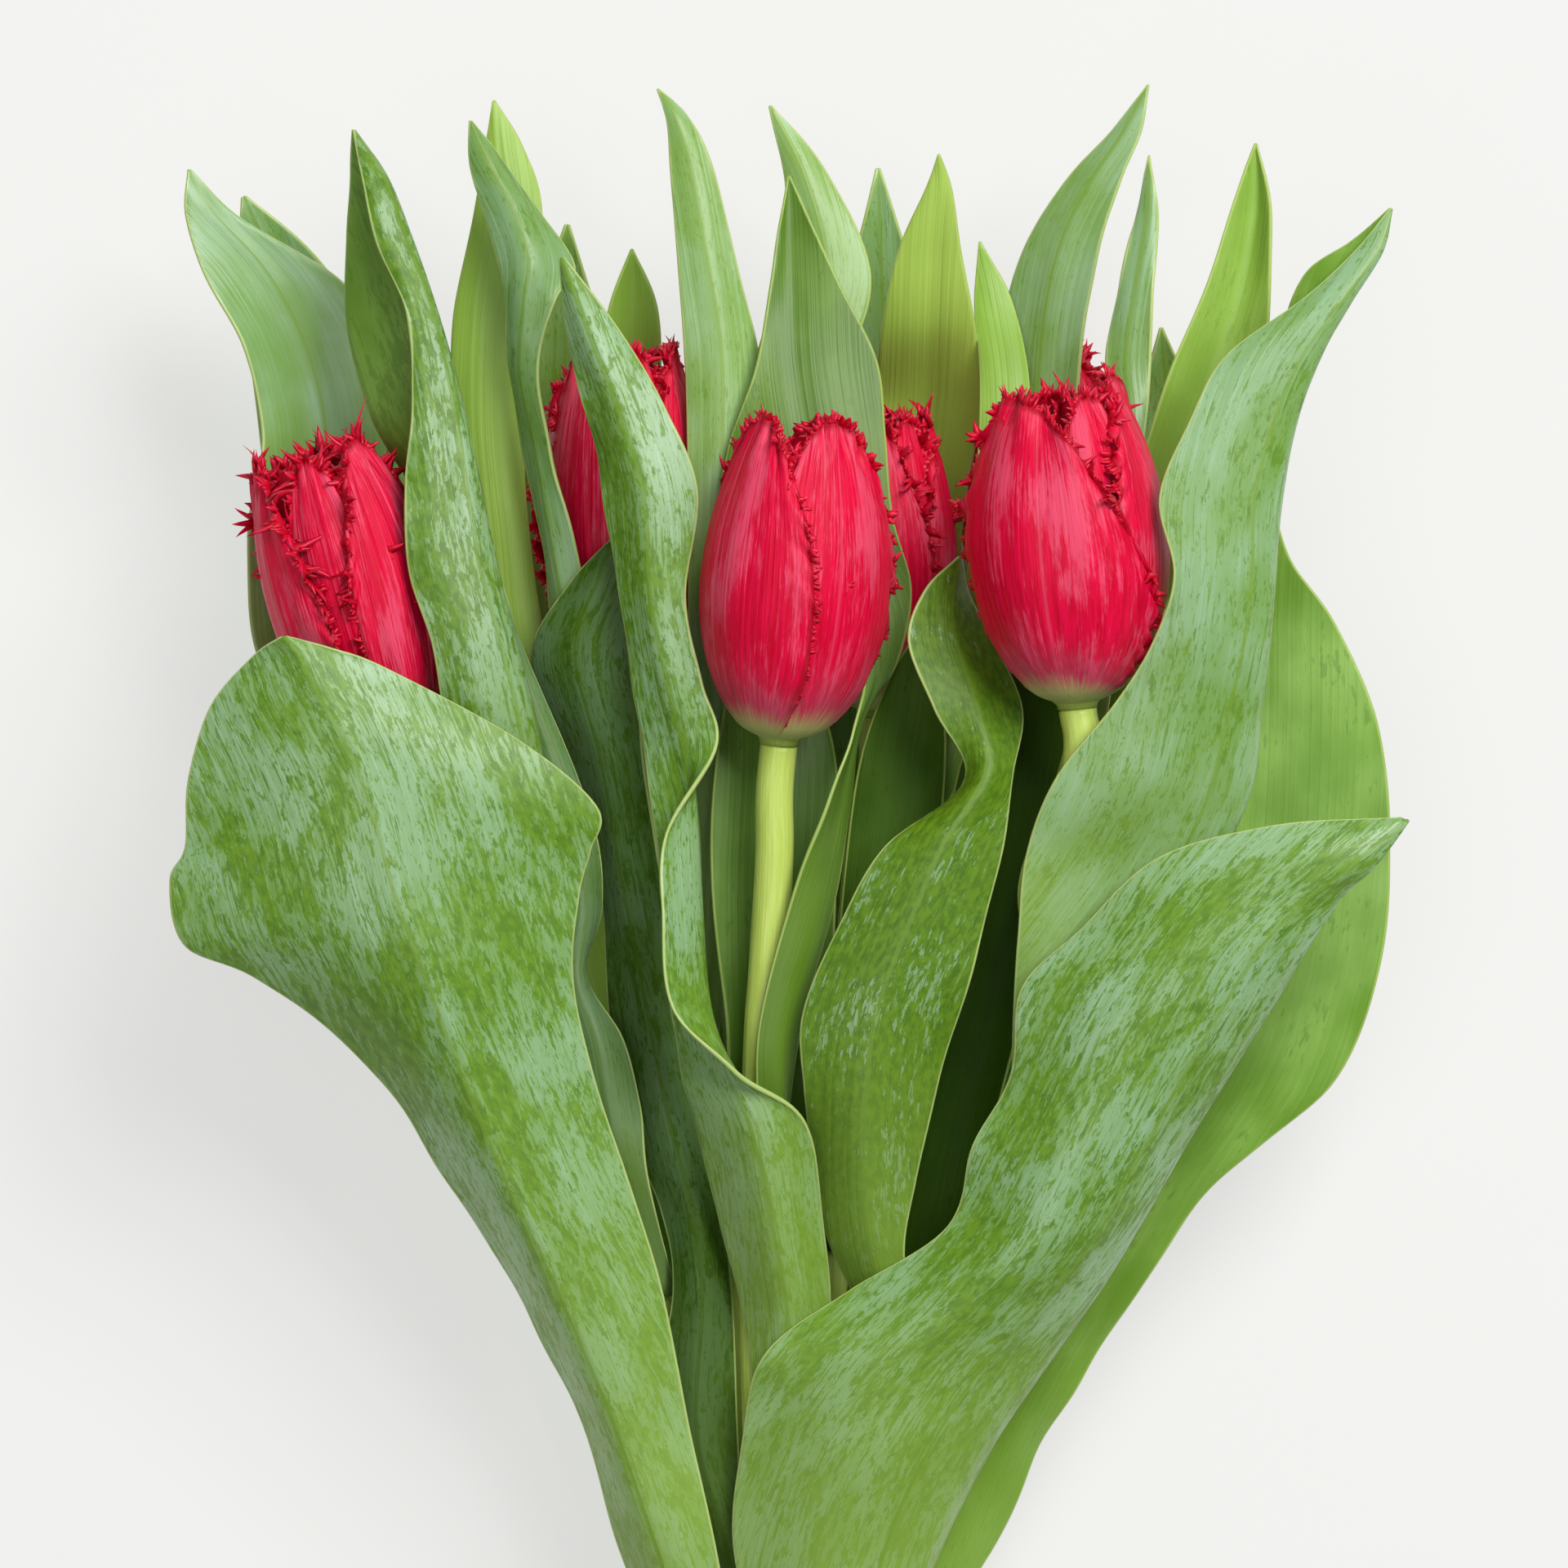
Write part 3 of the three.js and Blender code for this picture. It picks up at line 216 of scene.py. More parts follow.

# Below 0 a leaf's tone mark darkens it toward deep green, a painted shade for leaves that lie in shade inside
# the bunch; at -0.8 and under it also gets the dull finishes.
LEAVES: dict[str, LeafPlan] = {
    "leaf_a_broad_front": LeafPlan(
        "a", at=-38, toward=130, rubbed=0.7,
        rows=(
        ((-29, 0, -4), (-22, 0, 4), (-12, 1, 3)), ((-37, 27, 0), (-31, 27, 9), (-17.6, 27, 7)),
        ((-49, 51, 4), (-41.5, 52, 15), (-22.5, 52, 11)), ((-62.6, 73.3, 9), (-51.5, 74, 21), (-29, 73, 14)),
        ((-77.6, 94.3, 14), (-60, 95, 26), (-36, 94.5, 17)),
        ((-96.5, 109, 18), (-66, 111, 30), (-38.5, 111, 20)),
        ((-109.3, 114.5, 20), (-70.5, 123, 31.5), (-37.4, 124, 21)),
        ((-112, 126.5, 22), (-73.5, 134, 32.5), (-35.2, 132, 22.5)),
        ((-109.1, 133, 22), (-76.5, 144, 33), (-34.3, 140, 24)),
        ((-108.3, 145, 23), (-80.5, 153, 33), (-49, 152.5, 27)),
        ((-104.5, 158, 25), (-85, 161, 32), (-72, 164.8, 29)),
        ((-97, 167, 27), (-88, 167.3, 31), (-82, 168.5, 30)), ((-91, 171, 31),),
        ),
    ),
    "leaf_e_broad_front": LeafPlan(
        "e", at=-36, toward=75, rubbed=0.7,
        rows=(
        ((-8.6, 0, 2), (8, 0, 8), (24.5, 0, 4), (27.5, 1, -3)),
        ((-7.5, 24, 7), (14, 21, 15), (34, 20, 8), (38, 22, -3)),
        ((-3.5, 39.5, 12), (22, 37, 19), (46.5, 38.5, 11), (50, 42, 0)),
        ((12, 51.5, 14), (34, 48, 22), (56, 51, 14), (58.5, 56, 3)),
        ((29.5, 62.5, 18), (46, 60, 26), (64.5, 64, 17), (66, 70, 6)),
        ((34.5, 78, 21), (54, 76, 29), (73, 79, 20), (73.5, 86, 9)),
        ((41.6, 92, 23), (61, 91, 31), (81, 92, 24), (80, 99, 12)),
        ((43.5, 107, 24), (67, 104, 33), (88.5, 104, 27), (86, 111, 16)),
        ((54, 117.5, 26), (75, 115, 34), (95, 115, 30), (92, 121, 20)),
        ((68, 130.5, 29), (86, 124, 34), (101, 123.5, 31), (98, 128, 24)),
        ((88, 136.2, 31), (98, 131, 34), (107, 129, 32), (104, 132, 28)), ((114, 138, 31),),
        ),
    ),
    "leaf_c_long_front": LeafPlan(
        "c", at=2, toward=95, up=Face.BOTH, tone=-0.05, rubbed=0.7, ripple=0.6,
        rows=(
        ((-6, 37, 4), (1, 38, 8), (8, 39, 4)), ((-11.5, 63, 8), (-2, 63, 17), (7.2, 63, 11)),
        ((-16.5, 83, 12), (-6, 82, 22), (3.4, 83, 20)), ((-18.5, 91, 13), (-10, 92, 21), (-9, 91.7, 27)),
        ((-20.5, 104, 13), (-13.4, 105, 19), (-20.3, 102.5, 28)),
        ((-22, 120, 13), (-14.7, 122, 18), (-22, 120, 27)),
        ((-23.4, 135, 13), (-15.6, 139, 17.5), (-21.3, 135, 24)),
        ((-25.4, 149.6, 14), (-18, 151, 18), (-12.3, 151, 21)),
        ((-27.7, 162, 15), (-21, 163, 20), (-15, 162.6, 20)),
        ((-30, 178, 15), (-24, 178, 20), (-18, 178, 20)),
        ((-33, 197, 14), (-25.5, 197, 20), (-15.8, 197, 18)),
        ((-36, 212, 13), (-30, 212, 18), (-21.5, 212, 17)),
        ((-39.5, 225, 12), (-35, 225, 16), (-28.7, 225, 15)), ((-41.2, 241.6, 12),),
        ),
    ),
    "leaf_c_behind_bloom": LeafPlan(
        "c", at=84, toward=50, up=Face.INNER, tone=-0.5, rubbed=0.2, ripple=0.4,
        rows=(
        ((-4.5, 100, 14.5), (-0.5, 100, 14.5), (3.2, 100, 11.5)),
        ((0.5, 120, 17), (5, 120, 15.5), (8.5, 120, 11)), ((7.5, 140, 19), (10, 140, 14), (12, 140, 8)),
        ((12.5, 153, 16), (13.5, 154, 9), (14.6, 155, 2)), ((14.8, 166, 6), (17.5, 166, 3), (20.3, 166, 0)),
        ((6, 181, -1), (15, 181, 0), (23.4, 180, -2)), ((-10, 194, -2), (6, 195, -1), (19.8, 193.5, -4)),
        ((-10.5, 205, -4), (4, 208, -3), (18.6, 208, -5)), ((-5.3, 220, -6), (2, 222, -6), (17, 222, -7)),
        ((-2.5, 236, -8), (1.5, 236, -9), (10.2, 236, -8)),
        ((-0.6, 247, -9), (1.2, 248, -10), (5.2, 247, -9)), ((0.8, 256.6, -11),),
        ),
    ),
    "leaf_c_dark_left": LeafPlan(
        "c", at=-10, toward=165, tone=-0.82, rubbed=0.6, ripple=0.4,
        rows=(
        ((-14, 4, -4), (-10.5, 4, -1.5), (-7.5, 4, -1.5)), ((-24, 25, -1.5), (-16, 25, 1.5), (-8.5, 25, 0)),
        ((-20.5, 50, 0.5), (-15, 50, 3), (-9.5, 50, 1)), ((-22.5, 66, -0.5), (-17, 66, 3), (-11.5, 66, 0)),
        ((-30.5, 87, -1), (-22, 87, 4), (-14.5, 87, 0.5)), ((-34, 125, -4), (-29, 125, 2), (-22, 125, 5)),
        ((-40, 148, -5), (-33, 148, 3), (-25.5, 148, 7)), ((-46.5, 167, -1), (-38, 168, 5), (-27, 168, 8)),
        ((-39.5, 180.5, 3), (-34, 181, 6.5), (-28, 181, 7)), ((-31, 189.5, 6),),
        ),
    ),
    "leaf_c_behind_stem": LeafPlan(
        "c", at=54, toward=262, up=Face.INNER, tone=-0.45, rubbed=0.2, place=Place.MIDDLE, ripple=0.3,
        rows=(
        ((-10, 75, -3), (-5, 75, -5), (3, 75, -4)), ((-10.6, 100, 1), (-3, 100, -2), (8, 100, -1)),
        ((-13.3, 125, 3), (-3, 125, 0), (9.5, 125, -1)), ((-12.5, 148, 3), (-2, 148, 0), (9.5, 148, -2)),
        ((-9, 166, -1), (-2.5, 166, -3), (4, 166, -4)), ((-4, 179, -5),),
        ),
    ),
    "leaf_e_wavy_left": LeafPlan(
        "e", at=40, toward=120, tone=-0.2, rubbed=1.2, ripple=0.6,
        rows=(
        ((9, 58, 6), (16, 58, 10.5), (22, 57, 9)), ((5.5, 72, 9), (14.5, 72, 15), (24, 71, 11)),
        ((3.8, 88.8, 15), (15, 88, 19), (27.8, 88, 14)), ((3.4, 102, 18), (17, 103, 21), (32.3, 103, 17)),
        ((10, 118, 19), (23, 119, 22), (36.4, 118, 19)), ((18.3, 132, 19), (29, 133, 22), (39.8, 132, 18)),
        ((32.8, 145, 17), (37, 146, 20), (42, 146, 17)), ((27.5, 157.5, 17), (35, 158, 16), (43.5, 158, 11)),
        ((22.6, 170, 15), (31, 170, 12), (37.5, 171, 7)), ((26, 179.5, 13), (30.5, 179, 10), (34, 179, 6)),
        ((32.3, 186, 8),),
        ),
    ),
    "leaf_e_wavy_right": LeafPlan(
        "e", at=84, toward=60, rubbed=0.4, ripple=0.6,
        rows=(
        ((42, 103, 15), (48, 101, 16.5), (53, 99, 14), (54, 103, 8.5)),
        ((42.8, 117, 20), (54, 115, 19), (64, 113, 15), (60, 119, 8)),
        ((44.2, 131, 23), (61, 129, 22.5), (76, 126, 19), (71, 131, 10)),
        ((49.5, 145, 26.5), (67, 143, 27.5), (84.3, 142, 22), (79, 145, 12)),
        ((60.5, 159, 29), (73, 158, 30), (86.5, 158, 25), (82, 160, 15)),
        ((67.2, 170, 32), (77, 170, 32), (88, 170, 27), (84, 172, 17)),
        ((70.8, 182, 34), (79, 182, 33), (89, 182, 28), (86, 184, 18)),
        ((68.2, 196, 34), (79, 196, 33), (90, 196, 29), (88, 198, 19)),
        ((73.8, 210, 32), (83, 210, 32), (92.8, 209.5, 29), (89, 213, 20)),
        ((80.5, 222, 30), (88.5, 221.5, 31), (97.3, 221.5, 29), (91, 226, 21)),
        ((95, 232.5, 28), (99, 232.5, 29.5), (103.3, 233, 28), (95, 237, 22)),
        ((104.5, 241.5, 27), (106.5, 241.5, 27.5), (108.5, 241.5, 27), (103, 242.5, 23)),
        ((110.8, 249.3, 26),),
        ),
    ),
    "leaf_e_tall_folded": LeafPlan(
        "e", at=108, toward=300, up=Face.INNER, tone=0.4, rubbed=0.2, ripple=0.3,
        rows=(
        ((43, 125, 4), (47.5, 125, 4), (52, 125, 5)), ((50, 145, -1), (55, 145, 0), (60, 145, 1)),
        ((55, 165, -3), (60.5, 165, -2), (65.5, 165, -2)), ((60, 185, -3), (67, 185, -3), (74, 185, -4)),
        ((66, 205, 0), (74, 205, -3), (83, 205, -2)), ((71, 220, 2), (79, 220, -2), (88, 219, 1)),
        ((77.8, 236, 2), (84, 236, -1), (89.4, 236, 2)), ((82.2, 250, 1), (86.5, 250, -1), (89.1, 250, 2)),
        ((86.7, 262.2, 0),),
        ),
    ),
    "leaf_e_ribbon": LeafPlan(
        "e", at=136, toward=290, rubbed=0.15, ripple=0.6,
        rows=(
        ((52, 155, 9), (55.5, 155, 8), (59, 155, 9)), ((53, 170, 2.5), (57, 170, 1.5), (61, 170, 2.5)),
        ((54, 190, 2.2), (58.5, 190, 1.2), (63, 190, 1.8)), ((61, 208, 1), (63.5, 208, 1.5), (66, 208, 2)),
        ((59.2, 222, -2), (63, 222, -1), (67.4, 222, 0)), ((61.8, 236, -3), (65, 236, -2), (68, 236, -1)),
        ((65, 249, -5), (67, 249, -4), (68.7, 249, -3.5)), ((67.2, 260.1, -6),),
        ),
    ),
    "leaf_a_tall": LeafPlan(
        "a", at=97, toward=60, tone=-0.14, rubbed=0.78,
        rows=(
        ((-51, 116, 7), (-46, 115, 9), (-40.5, 114, 6), (-42, 116, 0)),
        ((-58, 136, 12), (-51, 135, 14), (-43, 134, 10), (-47, 138, 2)),
        ((-61.5, 153, 16), (-53, 152, 18), (-45, 152, 13), (-51, 156, 3)),
        ((-64, 169, 18), (-56.5, 168, 19), (-48.7, 168, 14), (-56, 171, 4)),
        ((-68.5, 183, 18), (-61, 183, 18), (-52.6, 184, 13), (-60.5, 187, 4)),
        ((-69.2, 199, 15), (-63, 199, 15), (-56.2, 200, 11), (-68, 198, -3)),
        ((-68, 213, 12), (-64.5, 213, 12), (-59.7, 214, 8), (-76.5, 213, -4)),
        ((-69, 230, 10), (-67, 230, 10), (-64.6, 230, 6), (-80.5, 229, -5)),
        ((-74.6, 243, 7), (-72, 243.5, 7), (-69, 244, 4), (-80.3, 245, -4)),
        ((-77.2, 254.5, 4), (-75.5, 255, 4), (-73.2, 255, 1), (-79.7, 256, -3)), ((-79.3, 264.7, -1),),
        ),
    ),
    "leaf_a_slim_dark": LeafPlan(
        "a", at=50, toward=60, tone=-0.6, rubbed=0.3, place=Place.MIDDLE, ripple=0.2,
        rows=(
        ((-36, 72, 4), (-30, 72, 8), (-25, 72, 7)), ((-38.5, 85, 6), (-32.5, 85, 10), (-26.3, 85, 8.5)),
        ((-39, 97, 8), (-34.5, 97, 10), (-29.5, 97, 8)), ((-40, 109, 7), (-38, 109, 8), (-36.3, 109, 6)),
        ((-39.5, 122, 6), (-36.5, 122, 6), (-33.4, 122, 3.5)), ((-42, 140, 5), (-39, 140, 5), (-36, 140, 3)),
        ((-51, 170, 4), (-49.8, 170, 4), (-48.6, 170, 3)), ((-51.8, 181, 3),),
        ),
    ),
    "leaf_a_fan": LeafPlan(
        "a", at=72, toward=205, up=Face.BOTH, rubbed=-0.5, ripple=0.6,
        rows=(
        ((-52, 95, -13), (-45.5, 95, -14), (-39, 95, -12)),
        ((-71, 120, -18), (-61, 120, -20), (-51, 120, -18)),
        ((-87, 145, -19), (-74, 145, -23), (-61, 145, -20)),
        ((-97, 168, -16), (-82, 168, -23), (-67, 168, -21)),
        ((-99, 190, -14), (-85, 190, -23), (-69, 190, -21)),
        ((-96, 209, -13), (-85, 210, -21), (-70, 211, -20)),
        ((-99.8, 224, -12), (-89, 226, -19), (-73, 226, -19)),
        ((-106.8, 238, -12), (-96, 239, -17), (-82.5, 237.5, -18)),
        ((-110.2, 249.5, -13), (-106, 250, -15), (-100.5, 248.6, -16)), ((-110, 257.8, -15),),
        ),
    ),
    "leaf_a_under": LeafPlan(
        "a", at=-12, toward=205, tone=0.1, rubbed=0.3, place=Place.HIDDEN, ripple=0.6,
        spine=(
        (-22, 12, -25, 6, 2), (-35, 50, -35, 11, 3), (-51, 90, -43, 14, 3), (-64, 125, -48, 16, 4),
        (-73, 155, -51, 17, 5), (-80, 185, -48, 15, 5), (-85, 215, -39, 13, 3), (-93.5, 238, -31, 8, 1),
        ),
        tip=(-100.5, 253.6, -27),
    ),
    "leaf_b_rolled": LeafPlan(
        "b", at=112, toward=120, tone=-0.1, rubbed=0.25, ripple=0.3,
        rows=(
        ((-33, 135, -11), (-29.5, 135, -9.5), (-25, 135, -9)),
        ((-40, 158, -10), (-36, 158, -8.5), (-31, 158, -9)),
        ((-43, 176, -5), (-40, 176, -2.5), (-36, 177, -1.5)),
        ((-44.5, 190, -4), (-42.5, 190, -1), (-39, 191, 1)),
        ((-48, 205, -6), (-45, 205, -2.5), (-42.7, 205, 0)),
        ((-50.5, 220, -5), (-48, 220, -2), (-45.3, 220, 0.5)),
        ((-51.2, 233, -3), (-47.5, 233, 0), (-42, 233, -1)),
        ((-52.5, 240, -3), (-47, 241, 0), (-38.5, 239, -4)),
        ((-55.2, 249, -4), (-50, 250, -2), (-44.5, 248.5, -5)),
        ((-57.8, 258, -5), (-54.5, 258.5, -4), (-51.6, 258.5, -6)), ((-57.9, 266.5, -6),),
        ),
    ),
    "leaf_b_tall_middle": LeafPlan(
        "b", at=90, toward=45, tone=0.2, rubbed=0.2, ripple=0.3,
        rows=(
        ((-17, 115, -12), (-13.5, 115, -11), (-10, 115, -12)),
        ((-17, 145, -9), (-12, 145, -8), (-6.5, 145, -9)), ((-17.5, 175, -8), (-12, 175, -7), (-5, 175, -9)),
        ((-17.6, 200, -8), (-11.5, 200, -7.5), (-4, 200, -9)),
        ((-18.2, 222, -9), (-11.5, 222, -8.5), (-4.6, 222, -10.5)),
        ((-19.5, 240, -10), (-14, 240, -9.5), (-8.8, 240, -11)),
        ((-20.8, 256, -12), (-16.8, 256, -11.5), (-13, 257, -12.5)),
        ((-21.5, 266, -13), (-19.5, 266, -12.5), (-17.5, 266.5, -13.5)), ((-23.5, 272.6, -15),),
        ),
    ),
    "leaf_b_pale": LeafPlan(
        "b", at=58, toward=165, up=Face.INNER, tone=0.8, rubbed=0.1, ripple=0.3,
        rows=(
        ((-29, 85, -18), (-25.5, 85, -16), (-22.8, 85, -15)),
        ((-38, 110, -18), (-33, 110, -15), (-28, 110, -14)),
        ((-49, 140, -18), (-42.5, 140, -15), (-36, 140, -14)),
        ((-56, 168, -16), (-50, 168, -13.5), (-43.5, 168, -14)),
        ((-58, 190, -15), (-52.5, 190, -13), (-47, 190, -14)),
        ((-61, 210, -15), (-54.5, 210, -13), (-48, 210, -14)),
        ((-61, 230, -15), (-54, 230, -13), (-46, 230, -14)),
        ((-57, 250, -16), (-51.5, 250, -14.5), (-44.8, 250, -16)),
        ((-55.2, 262, -17), (-52.8, 262, -16), (-48.5, 262, -17)), ((-53.7, 270.7, -18),),
        ),
    ),
    "leaf_b_short": LeafPlan(
        "b", at=103, toward=255, up=Face.INNER, tone=0.5, rubbed=0.2, place=Place.MIDDLE, ripple=0.2,
        spine=(
        (-25, 130, -28, 5, 1), (-30, 160, -35, 6, 1), (-30.5, 190, -36, 6, 1), (-29, 215, -33, 6, 1),
        (-28, 232, -30, 4.5, 1),
        ),
        tip=(-28.2, 243.5, -28),
    ),
    "leaf_b_under": LeafPlan(
        "b", at=-25, toward=235, tone=0.1, rubbed=0.3, place=Place.HIDDEN, ripple=0.6,
        spine=(
        (-7, 5, -34, 7, 2), (-14, 45, -41, 11, 3), (-24, 90, -47, 14, 3), (-33, 130, -52, 17, 3),
        (-39, 165, -57, 17, 3), (-41, 195, -60, 15, 3), (-41, 222, -52, 9, 2),
        ),
        tip=(-40.3, 249.3, -38),
    ),
    # Its tone mark above 1 is painted light: it keeps this leaf pale where it lies in shade deep in the bunch.
    "leaf_d_bright": LeafPlan(
        "d", at=94, toward=285, up=Face.INNER, tone=1.3, rubbed=0.1, ripple=0.3,
        rows=(
        ((17, 120, -29), (21, 120, -30), (26, 120, -28)), ((17, 150, -37), (24, 150, -37), (30.5, 150, -34)),
        ((15, 175, -41), (23.5, 175, -41), (31.5, 175, -37)),
        ((15.5, 198, -41.5), (25, 198, -41), (34, 198, -36)),
        ((17, 214, -39), (27, 214, -37), (36.6, 214, -31)),
        ((18.2, 229, -27), (27.5, 229, -24), (35.2, 229, -21)),
        ((21.4, 243, -21), (28, 243, -19), (32.6, 243, -18)),
        ((26.2, 254, -17), (28.8, 254, -16), (30.9, 254, -16)), ((28.6, 260.5, -15),),
        ),
    ),
    "leaf_d_short": LeafPlan(
        "d", at=108, toward=35, up=Face.INNER, tone=0.4, rubbed=0.2, place=Place.MIDDLE, ripple=0.2,
        spine=(
        (21, 128, -12, 3, -1), (30, 150, -10, 4, -1), (37, 175, -11, 4.5, -1), (40, 200, -13, 4.5, -1),
        (40.8, 218, -18, 4.5, -1), (38.7, 233, -24, 3.4, -1),
        ),
        tip=(36.2, 244.8, -25),
    ),
    "leaf_d_dark": LeafPlan(
        "d", at=58, toward=70, up=Face.INNER, tone=-0.9, rubbed=0.2, place=Place.HIDDEN, ripple=0.2,
        spine=(
        (13, 85, -7, 5, -1), (18, 115, -4, 8, -1), (21.5, 145, -3.5, 8, -1), (24, 162, -4.5, 5, -1),
        ),
        tip=(25, 173, -5),
    ),
    "leaf_f_broad_right": LeafPlan(
        "f", at=-28, toward=350, up=Face.INNER, rubbed=0.35, ripple=0.8,
        rows=(
        ((22.5, 0, -8), (30, 0, -13), (37.5, 1, -19)), ((30, 24, -6), (39, 23, -10), (48, 23, -16)),
        ((42, 50, -4), (52, 48, -7), (63, 47, -12)), ((52, 73, -2), (65, 71, -5), (79, 70, -9)),
        ((58, 95, 0), (78, 92, -4), (101, 89, -8)), ((62, 115, 2), (84, 112, -4), (109.5, 110, -7)),
        ((64, 138, 3), (87, 135, -5), (111.5, 133, -7)), ((67, 158, 3), (88, 156, -5), (109.2, 155, -6)),
        ((72, 173, 0), (88, 174, -5), (101.3, 173.5, -5)),
        ((81, 185, -2), (88.5, 185, -4), (93.5, 184.5, -4)), ((90.2, 193.5, -3),),
        ),
    ),
    "leaf_f_tall_curved": LeafPlan(
        "f", at=116, toward=90, tone=0.1, rubbed=0.1, ripple=0.3,
        rows=(
        ((34, 140, -27), (39.5, 140, -25), (44, 140, -26)),
        ((36, 165, -24), (43, 165, -22), (49.5, 165, -22)),
        ((37.5, 190, -24), (45, 190, -21), (52.5, 190, -20)),
        ((39, 212, -26), (47, 212, -22), (54, 212, -18)),
        ((40.8, 230, -28), (48.5, 230, -21), (55.7, 230, -17)),
        ((44.8, 244, -24), (51.5, 244, -20), (58.5, 244, -17)),
        ((52.5, 256, -21), (57, 255.5, -19), (62.3, 255.5, -17)),
        ((61, 265, -19), (63, 264.5, -18), (65.9, 264.5, -17)), ((67.5, 273.6, -18),),
        ),
    ),
    "leaf_f_dark": LeafPlan(
        "f", at=18, toward=85, up=Face.INNER, tone=-1.0, rubbed=0.2, place=Place.HIDDEN, ripple=0.2,
        spine=(
        (22, 45, -10, 7, -1), (30, 80, -8, 8, -1), (38, 115, -6, 9, -1), (43, 143, -4, 11.5, -1),
        (46, 166, -6, 6, -1),
        ),
        tip=(46, 184, -6),
    ),
    "leaf_f_under": LeafPlan(
        "f", at=-15, toward=305, tone=0.1, rubbed=0.3, place=Place.HIDDEN, ripple=0.6,
        spine=(
        (20, 12, -29, 7, 2), (34, 50, -39, 11, 3), (48, 95, -47, 15, 3), (59, 135, -53, 16, 3),
        (67, 165, -57, 14, 3), (72, 192, -60, 10, 2), (71.5, 213, -52, 6, 1),
        ),
        tip=(70.2, 229.7, -42),
    ),
    "leaf_g_middle": LeafPlan(
        "g", at=93, toward=90, tone=0.3, rubbed=0.15, place=Place.MIDDLE, ripple=0.3,
        spine=(
        (-3.5, 125, -24, 5, -1), (-5, 160, -20, 6, -1), (-5, 190, -18, 6, -1), (-2, 206, -15, 6, -1),
        (3, 222, -16, 8, -1), (8, 238, -19, 8, -1), (4, 256, -21, 4, -1),
        ),
        tip=(-2.9, 270.1, -23),
    ),
    "leaf_g_under": LeafPlan(
        "g", at=-30, toward=275, tone=0.1, rubbed=0.3, place=Place.HIDDEN, ripple=0.6,
        spine=(
        (8, 0, -33, 6, 2), (11, 45, -40, 8, 3), (14, 90, -46, 10, 3), (17.5, 130, -51, 11, 3),
        (19, 165, -55, 12, 3), (19, 200, -57, 11, 3), (18.5, 230, -50, 8, 2),
        ),
        tip=(17.5, 260, -42),
    ),
}

# ---- the frame and the surfaces

Form = tuple[Array, list[Array], Array]

SHORTEST = 1e-9

# A rod's rounded end, as shares of its radius: the last circle's radius, its reach and the cap's reach.
END_RADIUS = 0.86
END_REACH = 0.08
CAP_REACH = 0.06


def to_part(points: Array) -> Array:
    """Turns points of the bunch's frame about u by the tip angle, shifts them, and gives metres.

    Args:
        points: array whose last axis is u, v, w in millimetres.

    Returns:
        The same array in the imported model's frame, in metres.
    """
    cos, sin = math.cos(TIP_ANGLE), math.sin(TIP_ANGLE)
    u, v, w = points[..., 0], points[..., 1], points[..., 2]
    placed = np.stack([
        u - FOOTPRINT_CENTRE[0],
        v * cos - w * sin - FOOTPRINT_CENTRE[1],
        v * sin + w * cos + LIFT,
    ], axis=-1)
    return placed * MM


def unit(vectors: Array) -> Array:
    """Vectors over their own length, or over the shortest length that counts."""
    return vectors / np.maximum(np.linalg.norm(vectors, axis=-1, keepdims=True), SHORTEST)


def travelled(line: Array) -> Array:
    """The way along a line of points up to each of them, from 0."""
    return np.concatenate([[0], np.cumsum(np.linalg.norm(np.diff(line, axis=0), axis=1))])


def ways_across(surface: Array) -> Array:
    """The way along t from the middle column of a grid (s, t), negative before it.

    Args:
        surface: (s, t, 3) points.

    Returns:
        Array (s, t).
    """
    steps = np.linalg.norm(np.diff(surface, axis=1), axis=2)
    across = np.concatenate([np.zeros((len(surface), 1)), np.cumsum(steps, axis=1)], axis=1)
    return across - across[:, surface.shape[1] // 2][:, None]


def smooth(low: float, high: float, x: Array) -> Array:
    """The cubic step 3q² - 2q³ of q, which goes from 0 at low to 1 at high."""
    q = np.clip((x - low) / (high - low), 0.0, 1.0)
    return q * q * (3 - 2 * q)


def through(points: Array, s: Array) -> Array:
    """Catmull-Rom interpolation along the first axis of an array of equally spaced points.

    Each stretch is the cubic whose slope at a point is half the step between its two neighbours, and the
    ends are reflected.

    Args:
        points: array (n, ...).
        s: places from 0 to 1.

    Returns:
        Array (len(s), ...).
    """
    last = len(points) - 1
    spread = np.concatenate([2 * points[:1] - points[1:2], points, 2 * points[-1:] - points[-2:-1]])
    place = s * last
    i = np.clip(np.floor(place).astype(int), 0, last - 1)
    f = (place - i).reshape((-1,) + (1,) * (points.ndim - 1))
    a, b, c, d = spread[i], spread[i + 1], spread[i + 2], spread[i + 3]
    return 0.5 * (
        a * (-f + 2 * f**2 - f**3)
        + b * (2 - 5 * f**2 + 3 * f**3)
        + c * (f + 4 * f**2 - 3 * f**3)
        + d * (f**3 - f**2)
    )


def normals(surface: Array) -> Array:
    """Unit normals of a grid (s, t): the step along t crossed with the step along s.

    Args:
        surface: (s, t, 3) points.

    Returns:
        Array (s, t, 3).
    """
    along = np.gradient(surface, axis=0)
    across = np.gradient(surface, axis=1)
    return unit(np.cross(across, along))


def waves(x: Array, rng: Draws, length: float, count: int = 4) -> Array:
    """A sum of sines of seeded phase, with lengths from 0.6 to 1.7 times the given one, about 1 high.

    Args:
        x: places, in the same unit as length.
        rng: the source of the draws.
        length: the middle wavelength.
        count: number of sines.

    Returns:
        The height at each place.
    """
    lengths = length * rng.uniform(0.6, 1.7, count)
    phases = rng.uniform(0, 2 * math.pi, count)
    heights = rng.uniform(0.5, 1.0, count)
    total = sum(h * np.sin(2 * math.pi * x / l + p) for h, l, p in zip(heights, lengths, phases))
    return total / math.sqrt(count)


